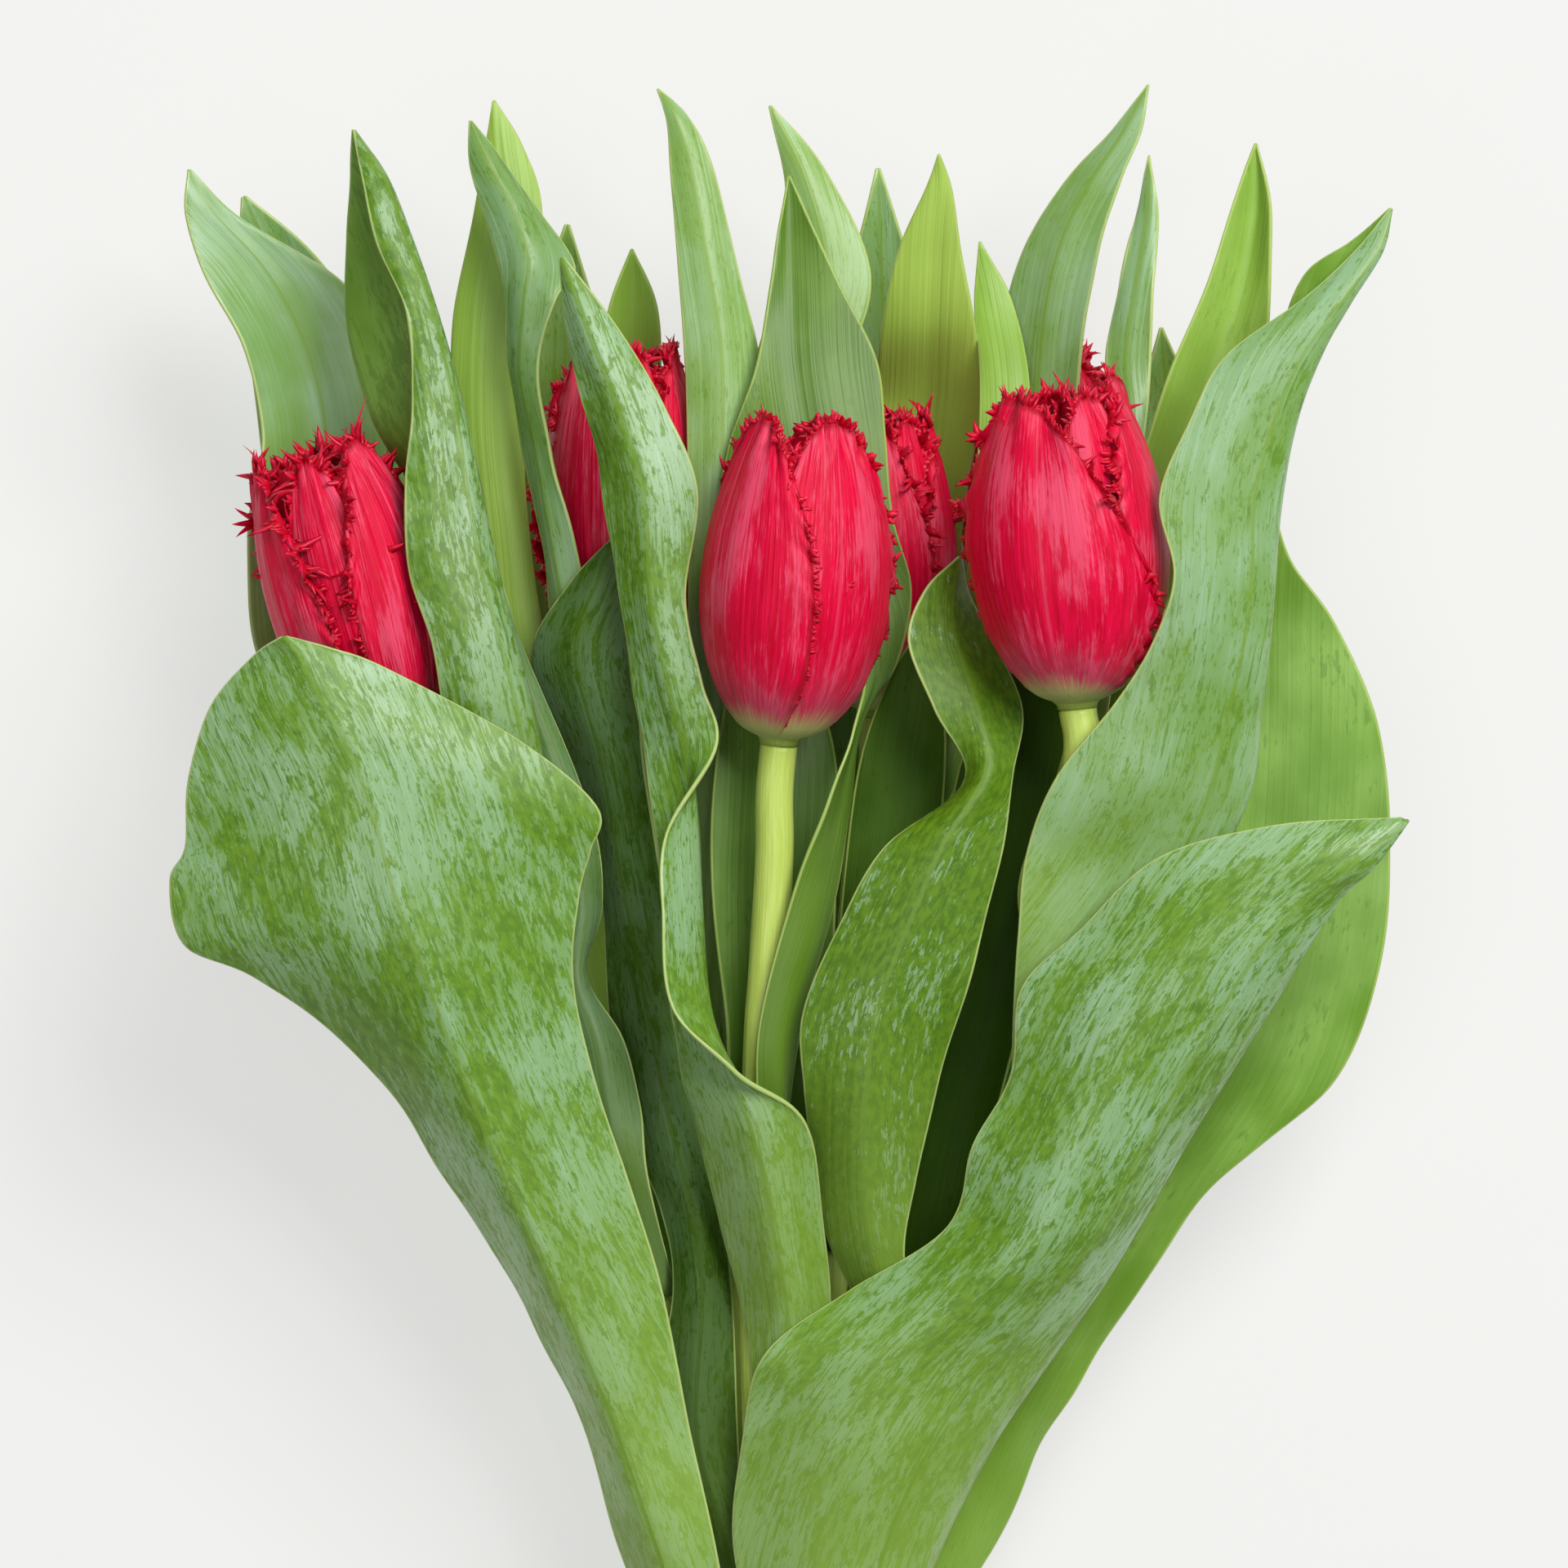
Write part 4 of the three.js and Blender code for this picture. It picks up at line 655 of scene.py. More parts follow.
@dataclass
class Parcel:
    """Points, faces and per-point marks that become one mesh."""

    points: list = field(default_factory=list)
    faces: list = field(default_factory=list)
    finish: list = field(default_factory=list)
    marks: dict[str, list] = field(default_factory=lambda: {"grain": [], "zone": [], "look": []})
    count: int = 0

    def add(
        self, points: Array, faces: list[Array], finish: Array | int,
        grain: Array, zone: Array, look: Array,
    ) -> None:
        """Adds one closed form.

        Args:
            points: (n, 3) in the bunch's frame.
            faces: blocks of faces, each an array (faces, corners) of point numbers.
            finish: the material number of each face, or one for all.
            grain: (n, 3) millimetres across and along the surface, and a seed.
            zone: (n, 3) millimetres from the margin, the share of the length, and the side from -1 to 1.
            look: (n, 3) the tone mark, whose values under 0 paint shade on leaves, how far the wax is rubbed
                off, and a draw from 0 to 1.
        """
        self.points.append(points)
        for block in faces:
            self.faces.extend((block + self.count).tolist())
        self.finish.append(np.broadcast_to(finish, sum(len(block) for block in faces)))
        self.marks["grain"].append(grain)
        self.marks["zone"].append(zone)
        self.marks["look"].append(look)
        self.count += len(points)

    def build(self, name: str, finishes: list[Material]) -> Made:
        """Makes the mesh and its object, smooth shaded, with the marks as vector attributes.

        Args:
            name: the object's name.
            finishes: the materials, in the order of their numbers.

        Returns:
            The object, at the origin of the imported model's frame.
        """
        mesh = bpy.data.meshes.new(name)
        placed = to_part(np.concatenate(self.points))
        placed[:, 2] = np.maximum(placed[:, 2], 0.0)
        mesh.from_pydata(placed.tolist(), [], self.faces)
        mesh.polygons.foreach_set("use_smooth", np.ones(len(self.faces), bool))
        mesh.polygons.foreach_set("material_index", np.concatenate(self.finish).astype(np.int32))
        for mark, values in self.marks.items():
            layer = mesh.attributes.new(mark, "FLOAT_VECTOR", "POINT")
            layer.data.foreach_set("vector", np.concatenate(values).astype(np.float32).ravel())
        for finish in finishes:
            mesh.materials.append(finish)
        mesh.validate()
        mesh.update()
        made = bpy.data.objects.new(name, mesh)
        bpy.context.scene.collection.objects.link(made)
        return made


def loop_of(rows: int, columns: int) -> Array:
    """Point numbers of a grid's border, counterclockwise as seen from its front."""
    grid = np.arange(rows * columns).reshape(rows, columns)
    return np.concatenate([grid[0, :-1], grid[:-1, -1], grid[-1, :0:-1], grid[:0:-1, 0]])


def blade(surface: Array, half: Array, bulge: float) -> Form:
    """A thin closed blade: the surface moved out and in by its half thickness, joined by a round rim.

    The rim is one more line of points, which stands out from the border by the bulge.

    Args:
        surface: (s, t, 3) middle surface.
        half: (s, t) half thickness.
        bulge: how far the rim stands out.

    Returns:
        Points, faces, and for each point the number of the grid point that it comes from. Faces are the
        front ones, then the back ones, then the two rows of the rim.
    """
    rows, columns = surface.shape[:2]
    normal = normals(surface)
    front = (surface + normal * half[..., None]).reshape(-1, 3)
    back = (surface - normal * half[..., None]).reshape(-1, 3)
    flat = surface.reshape(-1, 3)
    loop = loop_of(rows, columns)
    tangent = unit(np.roll(flat[loop], -1, axis=0) - np.roll(flat[loop], 1, axis=0))
    outward = unit(np.cross(tangent, normal.reshape(-1, 3)[loop]))
    ring = flat[loop] + outward * bulge
    total = rows * columns
    grid = np.arange(total).reshape(rows, columns)
    a, b, c, d = (x.ravel() for x in (grid[:-1, :-1], grid[:-1, 1:], grid[1:, 1:], grid[1:, :-1]))
    front_faces = np.stack([a, b, c, d], axis=1)
    back_faces = np.stack([a, d, c, b], axis=1) + total
    here = np.arange(len(loop))
    following = np.roll(here, -1)
    rim = np.concatenate([
        np.stack([loop, here + 2 * total, following + 2 * total, loop[following]], axis=1),
        np.stack([here + 2 * total, loop + total, loop[following] + total, following + 2 * total], axis=1),
    ])
    source = np.concatenate([np.arange(total), np.arange(total), loop])
    return np.concatenate([front, back, ring]), [front_faces, back_faces, rim], source


def fan(tip: int, ring: Array, following: Array) -> Array:
    """Triangles from one point to each number of a ring and the number that follows it."""
    return np.stack([np.full(len(ring), tip), ring, following], axis=1)


def rod(line: Array, radius: Array, sides: int) -> Form:
    """A closed round rod along a line: a circle across each point, and at each end a smaller one and a cap.

    Args:
        line: (n, 3) centre line.
        radius: (n,) radius at each point.
        sides: number of sides.

    Returns:
        Points, faces, and (n, 2) millimetres round and along for each point.
    """
    along = unit(np.gradient(line, axis=0))
    across = unit(np.array([1.0, 0, 0]) - along * along[:, :1])
    upward = np.cross(across, along)
    angle = (np.arange(sides) + 0.5) / sides * 2 * math.pi
    ring = np.cos(angle)[None, :, None] * across[:, None] + np.sin(angle)[None, :, None] * upward[:, None]
    skin = line[:, None] + ring * radius[:, None, None]
    first = line[:1, None] + ring[:1] * radius[0] * END_RADIUS - along[0] * radius[0] * END_REACH
    final = line[-1:, None] + ring[-1:] * radius[-1] * END_RADIUS + along[-1] * radius[-1] * END_REACH
    rings = np.concatenate([first, skin, final])
    count = len(rings)
    low_cap = line[0] - along[0] * radius[0] * CAP_REACH
    high_cap = line[-1] + along[-1] * radius[-1] * CAP_REACH
    points = np.concatenate([rings.reshape(-1, 3), [low_cap, high_cap]])
    grid = np.arange(count * sides).reshape(count, sides)
    turned = np.roll(grid, -1, axis=1)
    a, b, c, d = (x.ravel() for x in (grid[:-1], grid[1:], turned[1:], turned[:-1]))
    walls = np.stack([a, b, c, d], axis=1)
    low = fan(count * sides, grid[0], turned[0])
    high = fan(count * sides + 1, turned[-1], grid[-1])
    length = travelled(line)
    length = np.concatenate([length[:1], length, length[-1:]])
    place = np.stack([np.tile(angle * radius.mean(), count), np.repeat(length, sides)], axis=1)
    place = np.concatenate([place, [[0, 0], [0, length[-1]]]])
    return points, [walls, low, high], place


def turned_form(profile: Array, sides: int) -> Form:
    """A closed form of revolution: the profile turned round z, its two ends on the axis.

    Args:
        profile: (n, 2) radius and height from the bottom of the axis to its top, going up the outside.
        sides: number of sides.

    Returns:
        Points, faces, and (n, 2) millimetres round and up for each point.
    """
    angle = np.arange(sides) / sides * 2 * math.pi
    radius, height = profile[1:-1, 0], profile[1:-1, 1]
    skin = np.stack([
        radius[:, None] * np.cos(angle),
        radius[:, None] * np.sin(angle),
        np.repeat(height[:, None], sides, axis=1),
    ], axis=-1).reshape(-1, 3)
    points = np.concatenate([skin, [[0, 0, profile[0, 1]], [0, 0, profile[-1, 1]]]])
    grid = np.arange(len(skin)).reshape(-1, sides)
    turned = np.roll(grid, -1, axis=1)
    a, b, c, d = (x.ravel() for x in (grid[:-1], turned[:-1], turned[1:], grid[1:]))
    walls = np.stack([a, b, c, d], axis=1)
    low = fan(len(skin), turned[0], grid[0])
    high = fan(len(skin) + 1, grid[-1], turned[-1])
    place = np.stack([np.tile(angle, len(radius)) * radius.mean(), np.repeat(height, sides)], axis=1)
    place = np.concatenate([place, [[0, profile[0, 1]], [0, profile[-1, 1]]]])
    return points, [walls, low, high], place


# ---- stems and leaves

# All in millimetres, and the spread in degrees: the straight length of a stem under its bloom, a stem's
# radius at its cut and at its bloom, the radius at which a leaf clasps and how far to each side of its
# midrib, a leaf's half thickness at its middle and at its margins, and its least height over the floor.
STRAIGHT_NECK = 9.0
STEM_RADIUS = (3.9, 3.5)
CLASP_RADIUS = 4.9
CLASP_SPREAD = 50.0
LEAF_HALF = (0.45, 0.24)
LEAF_FLOOR = 0.45

# The distance from a margin that is marked on a form that has none.
NO_MARGIN = 50.0


def bloom_axis(plan: TulipPlan) -> Array:
    """The direction from the bloom's base to its top."""
    return unit(np.array(plan.top, float) - np.array(plan.stem[-1], float))


def stem_line(plan: TulipPlan) -> Array:
    """The stem's points, with one more before the last that puts the neck in line with the bloom."""
    points = np.array(plan.stem, float)
    return np.concatenate([points[:-1], [points[-1] - bloom_axis(plan) * STRAIGHT_NECK], points[-1:]])


def plain_marks(place: Array, seed: float, share: Array, tone: float) -> tuple[Array, ...]:
    """The grain, zone and look marks of a form that has no margin.

    Args:
        place: (n, 2) millimetres across and along.
        seed: the number that tells its pattern from others.
        share: (n,) share of its length.
        tone: its tone mark, under 0 a painted shade.

    Returns:
        The three arrays.
    """
    grain = np.column_stack([place, np.full(len(place), seed)])
    zone = np.column_stack([np.full(len(place), NO_MARGIN), share, np.zeros(len(place))])
    look = np.repeat([[tone, 0.5, 0.5]], len(place), axis=0)
    return grain, zone, look


@dataclass
class Stem:
    """A smooth stem, a little uneven, from its cut end to its bloom."""

    letter: str
    plan: TulipPlan
    sides: int = 20
    steps: int = 90
    unevenness: float = 0.03
    length: float = 250.0
    wave_length: float = 40.0

    def build(self, finish: Material) -> Made:
        """Sweeps a circle along the stem's line; the radius narrows evenly and varies in slow waves.

        Args:
            finish: the stem's finish.

        Returns:
            The stem's object.
        """
        rng = np.random.default_rng(self.plan.seed)
        s = np.linspace(0, 1, self.steps + 1)
        line = through(stem_line(self.plan), s)
        radius = STEM_RADIUS[0] + (STEM_RADIUS[1] - STEM_RADIUS[0]) * s
        radius = radius + self.unevenness * (waves(s * self.length, rng, self.wave_length) - 1)
        points, faces, place = rod(line, radius, self.sides)
        parcel = Parcel()
        marks = plain_marks(place, self.plan.seed, place[:, 1] / place[:, 1].max(), 0.0)
        parcel.add(points, faces, 0, *marks)
        return parcel.build("stem_" + self.letter + "_skin", [finish])


@dataclass
class Leaf:
    """A leaf: a waved blade that clasps its stem, with a keel along its middle and a fine round rim."""

    name: str
    plan: LeafPlan
    seed: int
    keel: float = 0.5
    keel_width: float = 2.2
    wave_length: float = 26.0
    slow_length: float = 45.0
    rim: float = 0.16
    end: float = 0.994
    fewest_rows: int = 24
    fewest_columns: int = 12
    search_steps: int = 4001
    grain_step: float = 7.3

    def clasp(self, columns: int) -> Array:
        """The first row: points round the stem, to both sides of the midrib's angle.

        Args:
            columns: how many points.

        Returns:
            Array (columns, 3).
        """
        line = through(stem_line(TULIPS[self.plan.stem]), np.linspace(0, 1, self.search_steps))
        centre = line[np.argmin(np.abs(line[:, 1] - self.plan.at))]
        side = np.linspace(-1, 1, columns)
        if math.sin(math.radians(self.plan.toward)) >= 0:
            side = -side
        angle = np.radians(self.plan.toward + side * CLASP_SPREAD)
        return centre + CLASP_RADIUS * np.column_stack([np.cos(angle), np.zeros(columns), np.sin(angle)])

    def net(self) -> Array:
        """The net of points from clasp to tip.

        A spine is made a net of three columns: the margins lie to both sides of it, across its line, and
        are lifted by their curl.

        Returns:
            Array (rows, columns, 3).
        """
        if self.plan.rows:
            rows = [np.array(row, float) for row in self.plan.rows]
        else:
            spine = np.array(self.plan.spine, float)
            middle = np.concatenate([spine[:, :3], [self.plan.tip]])
            before = np.maximum(np.arange(len(spine)) - 1, 0)
            along = middle[1:] - middle[before]
            across = unit(np.cross(along, [0.0, 0.0, 1.0]))
            lift = spine[:, 4:5] * np.array([0.0, 0.0, 1.0])
            left = spine[:, :3] - across * spine[:, 3:4] + lift
            right = spine[:, :3] + across * spine[:, 3:4] + lift
            rows = [np.stack(row) for row in zip(left, spine[:, :3], right)] + [middle[-1:]]
        columns = len(rows[0])
        rows = [self.clasp(columns)] + rows[:-1] + [np.repeat(rows[-1], columns, axis=0)]
        return np.stack(rows)

    def middle_surface(self) -> tuple[Array, Array, Array, Array]:
        """The waved middle surface and its millimetre grid.

        The net is interpolated along and then across, with the columns closer together at the margins. The
        keel sinks by a bell curve round the middle. The margins wave up and down by sines whose height grows
        with the fourth power of the way to the margin, and the whole sways by slow ones. What would lie
        under the floor is lifted onto it.

        Returns:
            The surface (s, t, 3), the way across and the way along in millimetres, and s.
        """
        net = self.net()
        length = np.linalg.norm(np.diff(net[:, net.shape[1] // 2], axis=0), axis=1).sum()
        width = np.linalg.norm(np.diff(net, axis=1), axis=2).sum(axis=1).max()
        pitch = self.plan.place.value
        columns = max(int(width / pitch * 1.2), self.fewest_columns) | 1
        s = np.linspace(0, self.end, max(int(length / pitch), self.fewest_rows))
        t = 0.5 - 0.5 * np.cos(np.linspace(0, math.pi, columns))
        t = 0.5 * t + 0.5 * np.linspace(0, 1, columns)
        surface = through(net, s)
        surface = np.moveaxis(through(np.moveaxis(surface, 1, 0), t), 0, 1)
        side = 2 * t - 1
        across = ways_across(surface)
        along = travelled(surface[:, columns // 2])[:, None] + np.zeros_like(across)
        rng = np.random.default_rng(self.seed)
        fade = (smooth(0.04, 0.3, s) * (1 - smooth(0.9, 1.0, s)))[:, None]
        left = waves(along, rng, self.wave_length)
        right = waves(along, rng, self.wave_length)
        margin = np.where(side < 0, left, right) * np.abs(side) ** 4 * self.plan.ripple
        slow = 0.3 * waves(along + 0.4 * across, rng, self.slow_length) * np.abs(side) * self.plan.ripple
        keel = -self.keel * np.exp(-((across / self.keel_width) ** 2))
        if self.plan.up is not Face.INNER:
            keel = -keel
        surface = surface + normals(surface) * ((margin + slow + keel) * fade)[..., None]
        height = surface[..., 1] * math.sin(TIP_ANGLE) + surface[..., 2] * math.cos(TIP_ANGLE) + LIFT
        short = np.maximum(LEAF_FLOOR - height, 0)
        surface = surface + short[..., None] * np.array([0, math.sin(TIP_ANGLE), math.cos(TIP_ANGLE)])
        return surface, across, along, s

    def build(self, outer: Material, inner: Material) -> Made:
        """Gives the surface its thickness, thin at the margins, and the marks that its finishes read.

        Args:
            outer: the finish of the waxy face.
            inner: the finish of the other face.

        Returns:
            The leaf's object.
        """
        surface, across, along, s = self.middle_surface()
        reach = np.maximum(np.maximum(np.abs(across[:, :1]), np.abs(across[:, -1:])), 1.0)
        thin = np.clip(np.abs(across) / reach, 0, 1) ** 3
        half = LEAF_HALF[0] + (LEAF_HALF[1] - LEAF_HALF[0]) * np.maximum(thin, s[:, None] ** 6)
        points, faces, source = blade(surface, half, self.rim)
        from_margin = np.minimum(across - across[:, :1], across[:, -1:] - across)
        share = s[:, None] + np.zeros_like(across)
        grain = np.stack([across, along, np.full_like(across, self.seed * self.grain_step)], axis=-1)
        zone = np.stack([from_margin, share, across / reach], axis=-1)
        look = np.repeat([[self.plan.tone, self.plan.rubbed, 0.5]], len(points), axis=0)
        cells, rim = len(faces[0]), len(faces[2])
        finish = np.repeat([0, 1, 0, 1], [cells, cells, rim // 2, rim // 2])
        parcel = Parcel()
        parcel.add(points, faces, finish, grain.reshape(-1, 3)[source], zone.reshape(-1, 3)[source], look)
        up = inner if self.plan.up is Face.INNER else outer
        under = inner if self.plan.up is Face.OUTER else outer
        return parcel.build(self.name + "_blade", [up, under])


# ---- blooms, pistils and the tie

# In millimetres: the gap between a stem's end and its bloom, the height of the receptacle's seat, and the
# height of the typical bloom.
SEAT_GAP = 0.3
SEAT_HEIGHT = 5.4
BLOOM_HEIGHT = 60.0

# A thorn's squares of points: how far along its reach each stands, and its width against the root's. The
# squares are half as thick as they are wide.
THORN_SQUARES = ((-0.15, 1.0), (0.34, 0.76), (0.74, 0.4))
SQUARE = ((1, 0), (0, 1), (-1, 0), (0, -1))


class Ring(Enum):
    """The two rings of petals, as the radius and height of their profile from its base up."""

    OUTER = ((3.2, 1.2), (8.8, 4.4), (14.2, 13), (17, 25), (16.6, 38), (13.8, 50), (9.6, 60))
    INNER = ((2.6, 2.4), (6.8, 6.4), (11.8, 14), (14.3, 26), (13.8, 38), (11, 49.5), (7.2, 59))


@dataclass(frozen=True)
class BloomFrame:
    """The frame of one bloom: z along its axis, the angles of its petals told from the side that is up."""

    plan: TulipPlan

    def to_bunch(self, points: Array) -> Array:
        """Turns points of the bloom into the bunch's frame and sets them on the stem's end.

        Args:
            points: (n, 3) in the bloom's frame.

        Returns:
            The same points in the bunch's frame.
        """
        axis = bloom_axis(self.plan)
        right = unit(-np.cross([0.0, 0.0, 1.0], axis))
        down = np.cross(axis, right)
        base = np.array(self.plan.stem[-1], float) + axis * SEAT_GAP
        return base + points @ np.stack([right, down, axis])


def either_margin(x: Array, side: Array, rng: Draws, *size: float) -> Array:
    """One sum of sines, of the given wavelength and number, left of the middle, and another right of it."""
    return np.where(side < 0, waves(x, rng, *size), waves(x, rng, *size))


@dataclass
class Petal:
    """One petal: a strip of the bloom's cup from its base to an arched top, with a fringe on its margins.

    The angles are in degrees from the side that faces up. The reach is its height against its ring's, the
    slope is how far its top falls from left to right, and turned is how far its right margin stands out and
    its left one lies in. The lengths of the fringe are those of its thorns on the margins and at the top.
    """

    ring: Ring
    plan: TulipPlan
    angle: float
    half_angle: float
    reach: float
    slope: float
    seed: int
    rows: int = 56
    columns: int = 35
    half: float = 0.3
    rim: float = 0.12
    turned: float = 0.9
    crinkle: float = 1.4
    groove: float = 0.35
    fringe_from: float = 0.14
    fringe_pitch: float = 0.62
    fringe_side: float = 1.3
    fringe_top: float = 2.6
    fringe_seed: int = 500
    grain_side: float = 24.0
    grain_step: float = 3.1

    def width(self, s: Array) -> Array:
        """Half the angle that the petal spans, in degrees.

        It opens by a quarter sine up to the middle and closes by a power of 2.5 above it.

        Args:
            s: shares of the length.

        Returns:
            The half angle at each share.
        """
        opening = np.sin(math.pi / 2 * np.minimum(s / 0.5, 1))
        closing = np.maximum(s - 0.5, 0) / 0.5
        return self.half_angle * (0.62 + 0.38 * opening) * (1 - 0.3 * closing**2.5)

    def lift(self, side: Array, s: Array, rng: Draws) -> Array:
        """How far the petal stands out from its profile, in millimetres.

        One margin stands out, the other lies in, and both lie a little back by the square of the side. Short
        sines crinkle the margins, with the tenth power of the side and more of them higher up. Longer ones
        bow them, with the fourth power. The top waves in and out, the middle has a groove that is a bell
        curve of the side, and the whole is a little uneven.

        Args:
            side: the side of each point, from -1 to 1.
            s: its share of the length.
            rng: the source of the draws.

        Returns:
            The lift of each point.
        """
        height = s * BLOOM_HEIGHT
        lift = self.turned * side * np.minimum(s * 3, 1) - 0.5 * side**2
        upward = (0.3 + 0.7 * smooth(0.35, 0.75, s)) * smooth(0.1, 0.3, s)
        lift = lift + self.crinkle * either_margin(height, side, rng, 4.2, 5) * np.abs(side) ** 10 * upward
        lift = lift + 0.5 * either_margin(height, side, rng, 15) * np.abs(side) ** 4 * smooth(0.15, 0.6, s)
        lift = lift + self.crinkle * waves(side * 16 + rng.uniform(0, 9), rng, 5) * smooth(0.86, 1.0, s)
        lift = lift - self.groove * np.exp(-((side / 0.07) ** 2)) * smooth(0.15, 0.5, s) * (1.2 - 0.5 * s)
        return lift + 0.22 * waves(side * 20 + height * 0.05, rng, 9) * smooth(0.05, 0.3, s)

    def surface(self) -> tuple[Array, Array, Array]:
        """The middle surface of the petal in the bloom's frame.

        The profile's radius is spread by the girth and, with the square of the height, by the mouth. A point
        at the share s and the side q is taken at s times the reach, less a fifth of it times q to the power
        2.4, which arches the top, and less the slope times q. The top rises toward its middle and in waves.

        Returns:
            The surface (s, t, 3), the side of each point from -1 to 1, and its share of the length.
        """
        rng = np.random.default_rng(self.seed)
        profile = np.array(self.ring.value, float)
        spread = (1 + (self.plan.mouth - 1) * (profile[:, 1] / BLOOM_HEIGHT) ** 2) * self.plan.girth
        profile = np.column_stack([profile[:, 0] * spread, profile[:, 1] * self.plan.height])
        s = np.linspace(0, 1, self.rows)[:, None] + np.zeros((1, self.columns))
        t = 0.5 - 0.5 * np.cos(np.linspace(0, math.pi, self.columns))
        t = 0.6 * t + 0.4 * np.linspace(0, 1, self.columns)
        side = (2 * t - 1)[None, :] + np.zeros_like(s)
        place = s * self.reach * (1 - 0.2 * np.abs(side) ** 2.4 - self.slope * side)
        point = through(profile, place.ravel()).reshape(s.shape + (2,))
        radius = point[..., 0] + self.lift(side, s, rng)
        turn = np.radians(self.angle + side * self.width(s))
        rise = 1.3 * (1 - np.abs(side)) ** 2 * smooth(0.8, 1.0, s)
        rise = rise + 0.5 * waves(side * 16, rng, 6) * smooth(0.9, 1, s)
        surface = np.stack([radius * np.sin(turn), -radius * np.cos(turn), point[..., 1] + rise], axis=-1)
        return surface, side, s

    def border(self, grid: Array) -> Array:
        """The fringed border of a grid: up its right margin, along its top and down its left margin."""
        low = int(self.rows * self.fringe_from)
        return np.concatenate([grid[low:, -1], grid[-1, -2::-1], grid[-2:low:-1, 0]])

    def border_share(self) -> Array:
        """The share of the petal's length at each point of its fringed border.

        Returns:
            Array (n,).
        """
        low = int(self.rows * self.fringe_from)
        first = low / self.rows
        up = np.linspace(first, 1, self.rows - low)
        down = np.linspace(1, first, self.rows - low - 2)
        return np.concatenate([up, np.ones(self.columns - 1), down])

    def fringe(self, surface: Array, rng: Draws) -> Form:
        """Short fleshy four-sided thorns with their roots sunk in the rim, longer toward the top.

        Each thorn has three squares of points, which narrow along its curved line, and an apex. Slow sums of
        sines along the margin make tufts: one for the reach, one for the lean out of the petal's face, and
        one for the slant along the margin. The bend grows with the square of the way along the thorn.

        Args:
            surface: the petal's middle surface.
            rng: the source of the draws.

        Returns:
            Points, faces, and the share of each point's way along its thorn.
        """
        line, facing = self.border(surface), self.border(normals(surface))
        length = travelled(line)
        count = int(length[-1] / self.fringe_pitch)
        at = np.linspace(0, length[-1], count) + rng.uniform(-0.4, 0.4, count) * self.fringe_pitch
        at = np.clip(at, 0, length[-1])

        def sample(values: Array) -> Array:
            """Values at the thorns' places along the border."""
            return np.column_stack([np.interp(at, length, values[:, k]) for k in range(values.shape[1])])

        root, out_of_face = sample(line), unit(sample(facing))
        tangent = unit(sample(np.gradient(line, axis=0)))
        outward = unit(np.cross(tangent, out_of_face))
        share = np.interp(at, length, self.border_share())
        high = smooth(0.5, 0.95, share)
        tuft = 1 + 0.5 * waves(at, rng, 4.2, 5)
        reach = self.fringe_side * (0.4 + 0.6 * smooth(0.3, 0.6, share))
        reach = reach + (self.fringe_top * self.plan.fringe - self.fringe_side) * high
        reach = reach * rng.uniform(0.55, 1.15, count)
        reach = np.maximum(reach * tuft, 0.4)
        lean = 0.2 + 0.42 * waves(at, rng, 4.5, 5) + rng.normal(0, 0.14, count)
        slant = 0.34 * waves(at, rng, 4.5, 5) + rng.normal(0, 0.16, count)
        heading = unit(outward + out_of_face * lean[:, None] + tangent * slant[:, None])
        bend = out_of_face * rng.normal(0.1, 0.3, count)[:, None]
        bend = bend + tangent * rng.normal(0, 0.25, count)[:, None]
        flat = unit(tangent - heading * np.sum(tangent * heading, axis=1, keepdims=True))
        thick = np.cross(heading, flat)
        width = rng.uniform(0.5, 0.9, count) * (0.9 + 0.3 * high)
        points = []
        for way, size in THORN_SQUARES:
            centre = root + heading * (reach * way)[:, None] + bend * (reach * max(way, 0) ** 2)[:, None]
            for p, q in SQUARE:
                points.append(centre + (flat * p + thick * q * 0.5) * (width * size)[:, None])
        points.append(root + heading * reach[:, None] + bend * reach[:, None])
        ways = np.repeat([max(way, 0) for way, _ in THORN_SQUARES] + [1.0], [4, 4, 4, 1])
        faces = thorn_faces(count)
        if np.sum(np.cross(flat, thick) * heading, axis=1).mean() < 0:
            faces = [block[:, ::-1] for block in faces]
        return np.stack(points, axis=1).reshape(-1, 3), faces, np.tile(ways, count)

    def add_to(self, parcel: Parcel) -> None:
        """Adds the petal's blade and its fringe to the bloom's parcel.

        Args:
            parcel: the bloom's parcel.
        """
        rng = np.random.default_rng(self.seed + self.fringe_seed)
        surface, side, s = self.surface()
        points, faces, source = blade(surface, np.full(side.shape, self.half), self.rim)
        across = ways_across(surface)
        from_margin = np.minimum(across - across[:, :1], across[:, -1:] - across)
        from_margin = np.minimum(from_margin, (1 - s) * (BLOOM_HEIGHT - 2))
        tone = rng.uniform(-1, 1)
        pattern = np.full_like(s, self.seed * self.grain_step)
        grain = np.stack([side * self.grain_side, s * BLOOM_HEIGHT, pattern], axis=-1)
        zone = np.stack([from_margin, s, side], axis=-1)
        look = np.repeat([[tone, 0.5, rng.uniform(0, 1)]], len(points), axis=0)
        finish = np.repeat([0, 1, 0], [len(block) for block in faces])
        frame = BloomFrame(self.plan)
        grain, zone = grain.reshape(-1, 3)[source], zone.reshape(-1, 3)[source]
        parcel.add(frame.to_bunch(points), faces, finish, grain, zone, look)
        thorns, faces, way = self.fringe(surface, rng)
        zone = np.column_stack([np.zeros(len(way)), way, np.zeros(len(way))])
        look = np.repeat([[tone, 0.5, 0.5]], len(thorns), axis=0)
        parcel.add(frame.to_bunch(thorns), faces, 2, thorns, zone, look)


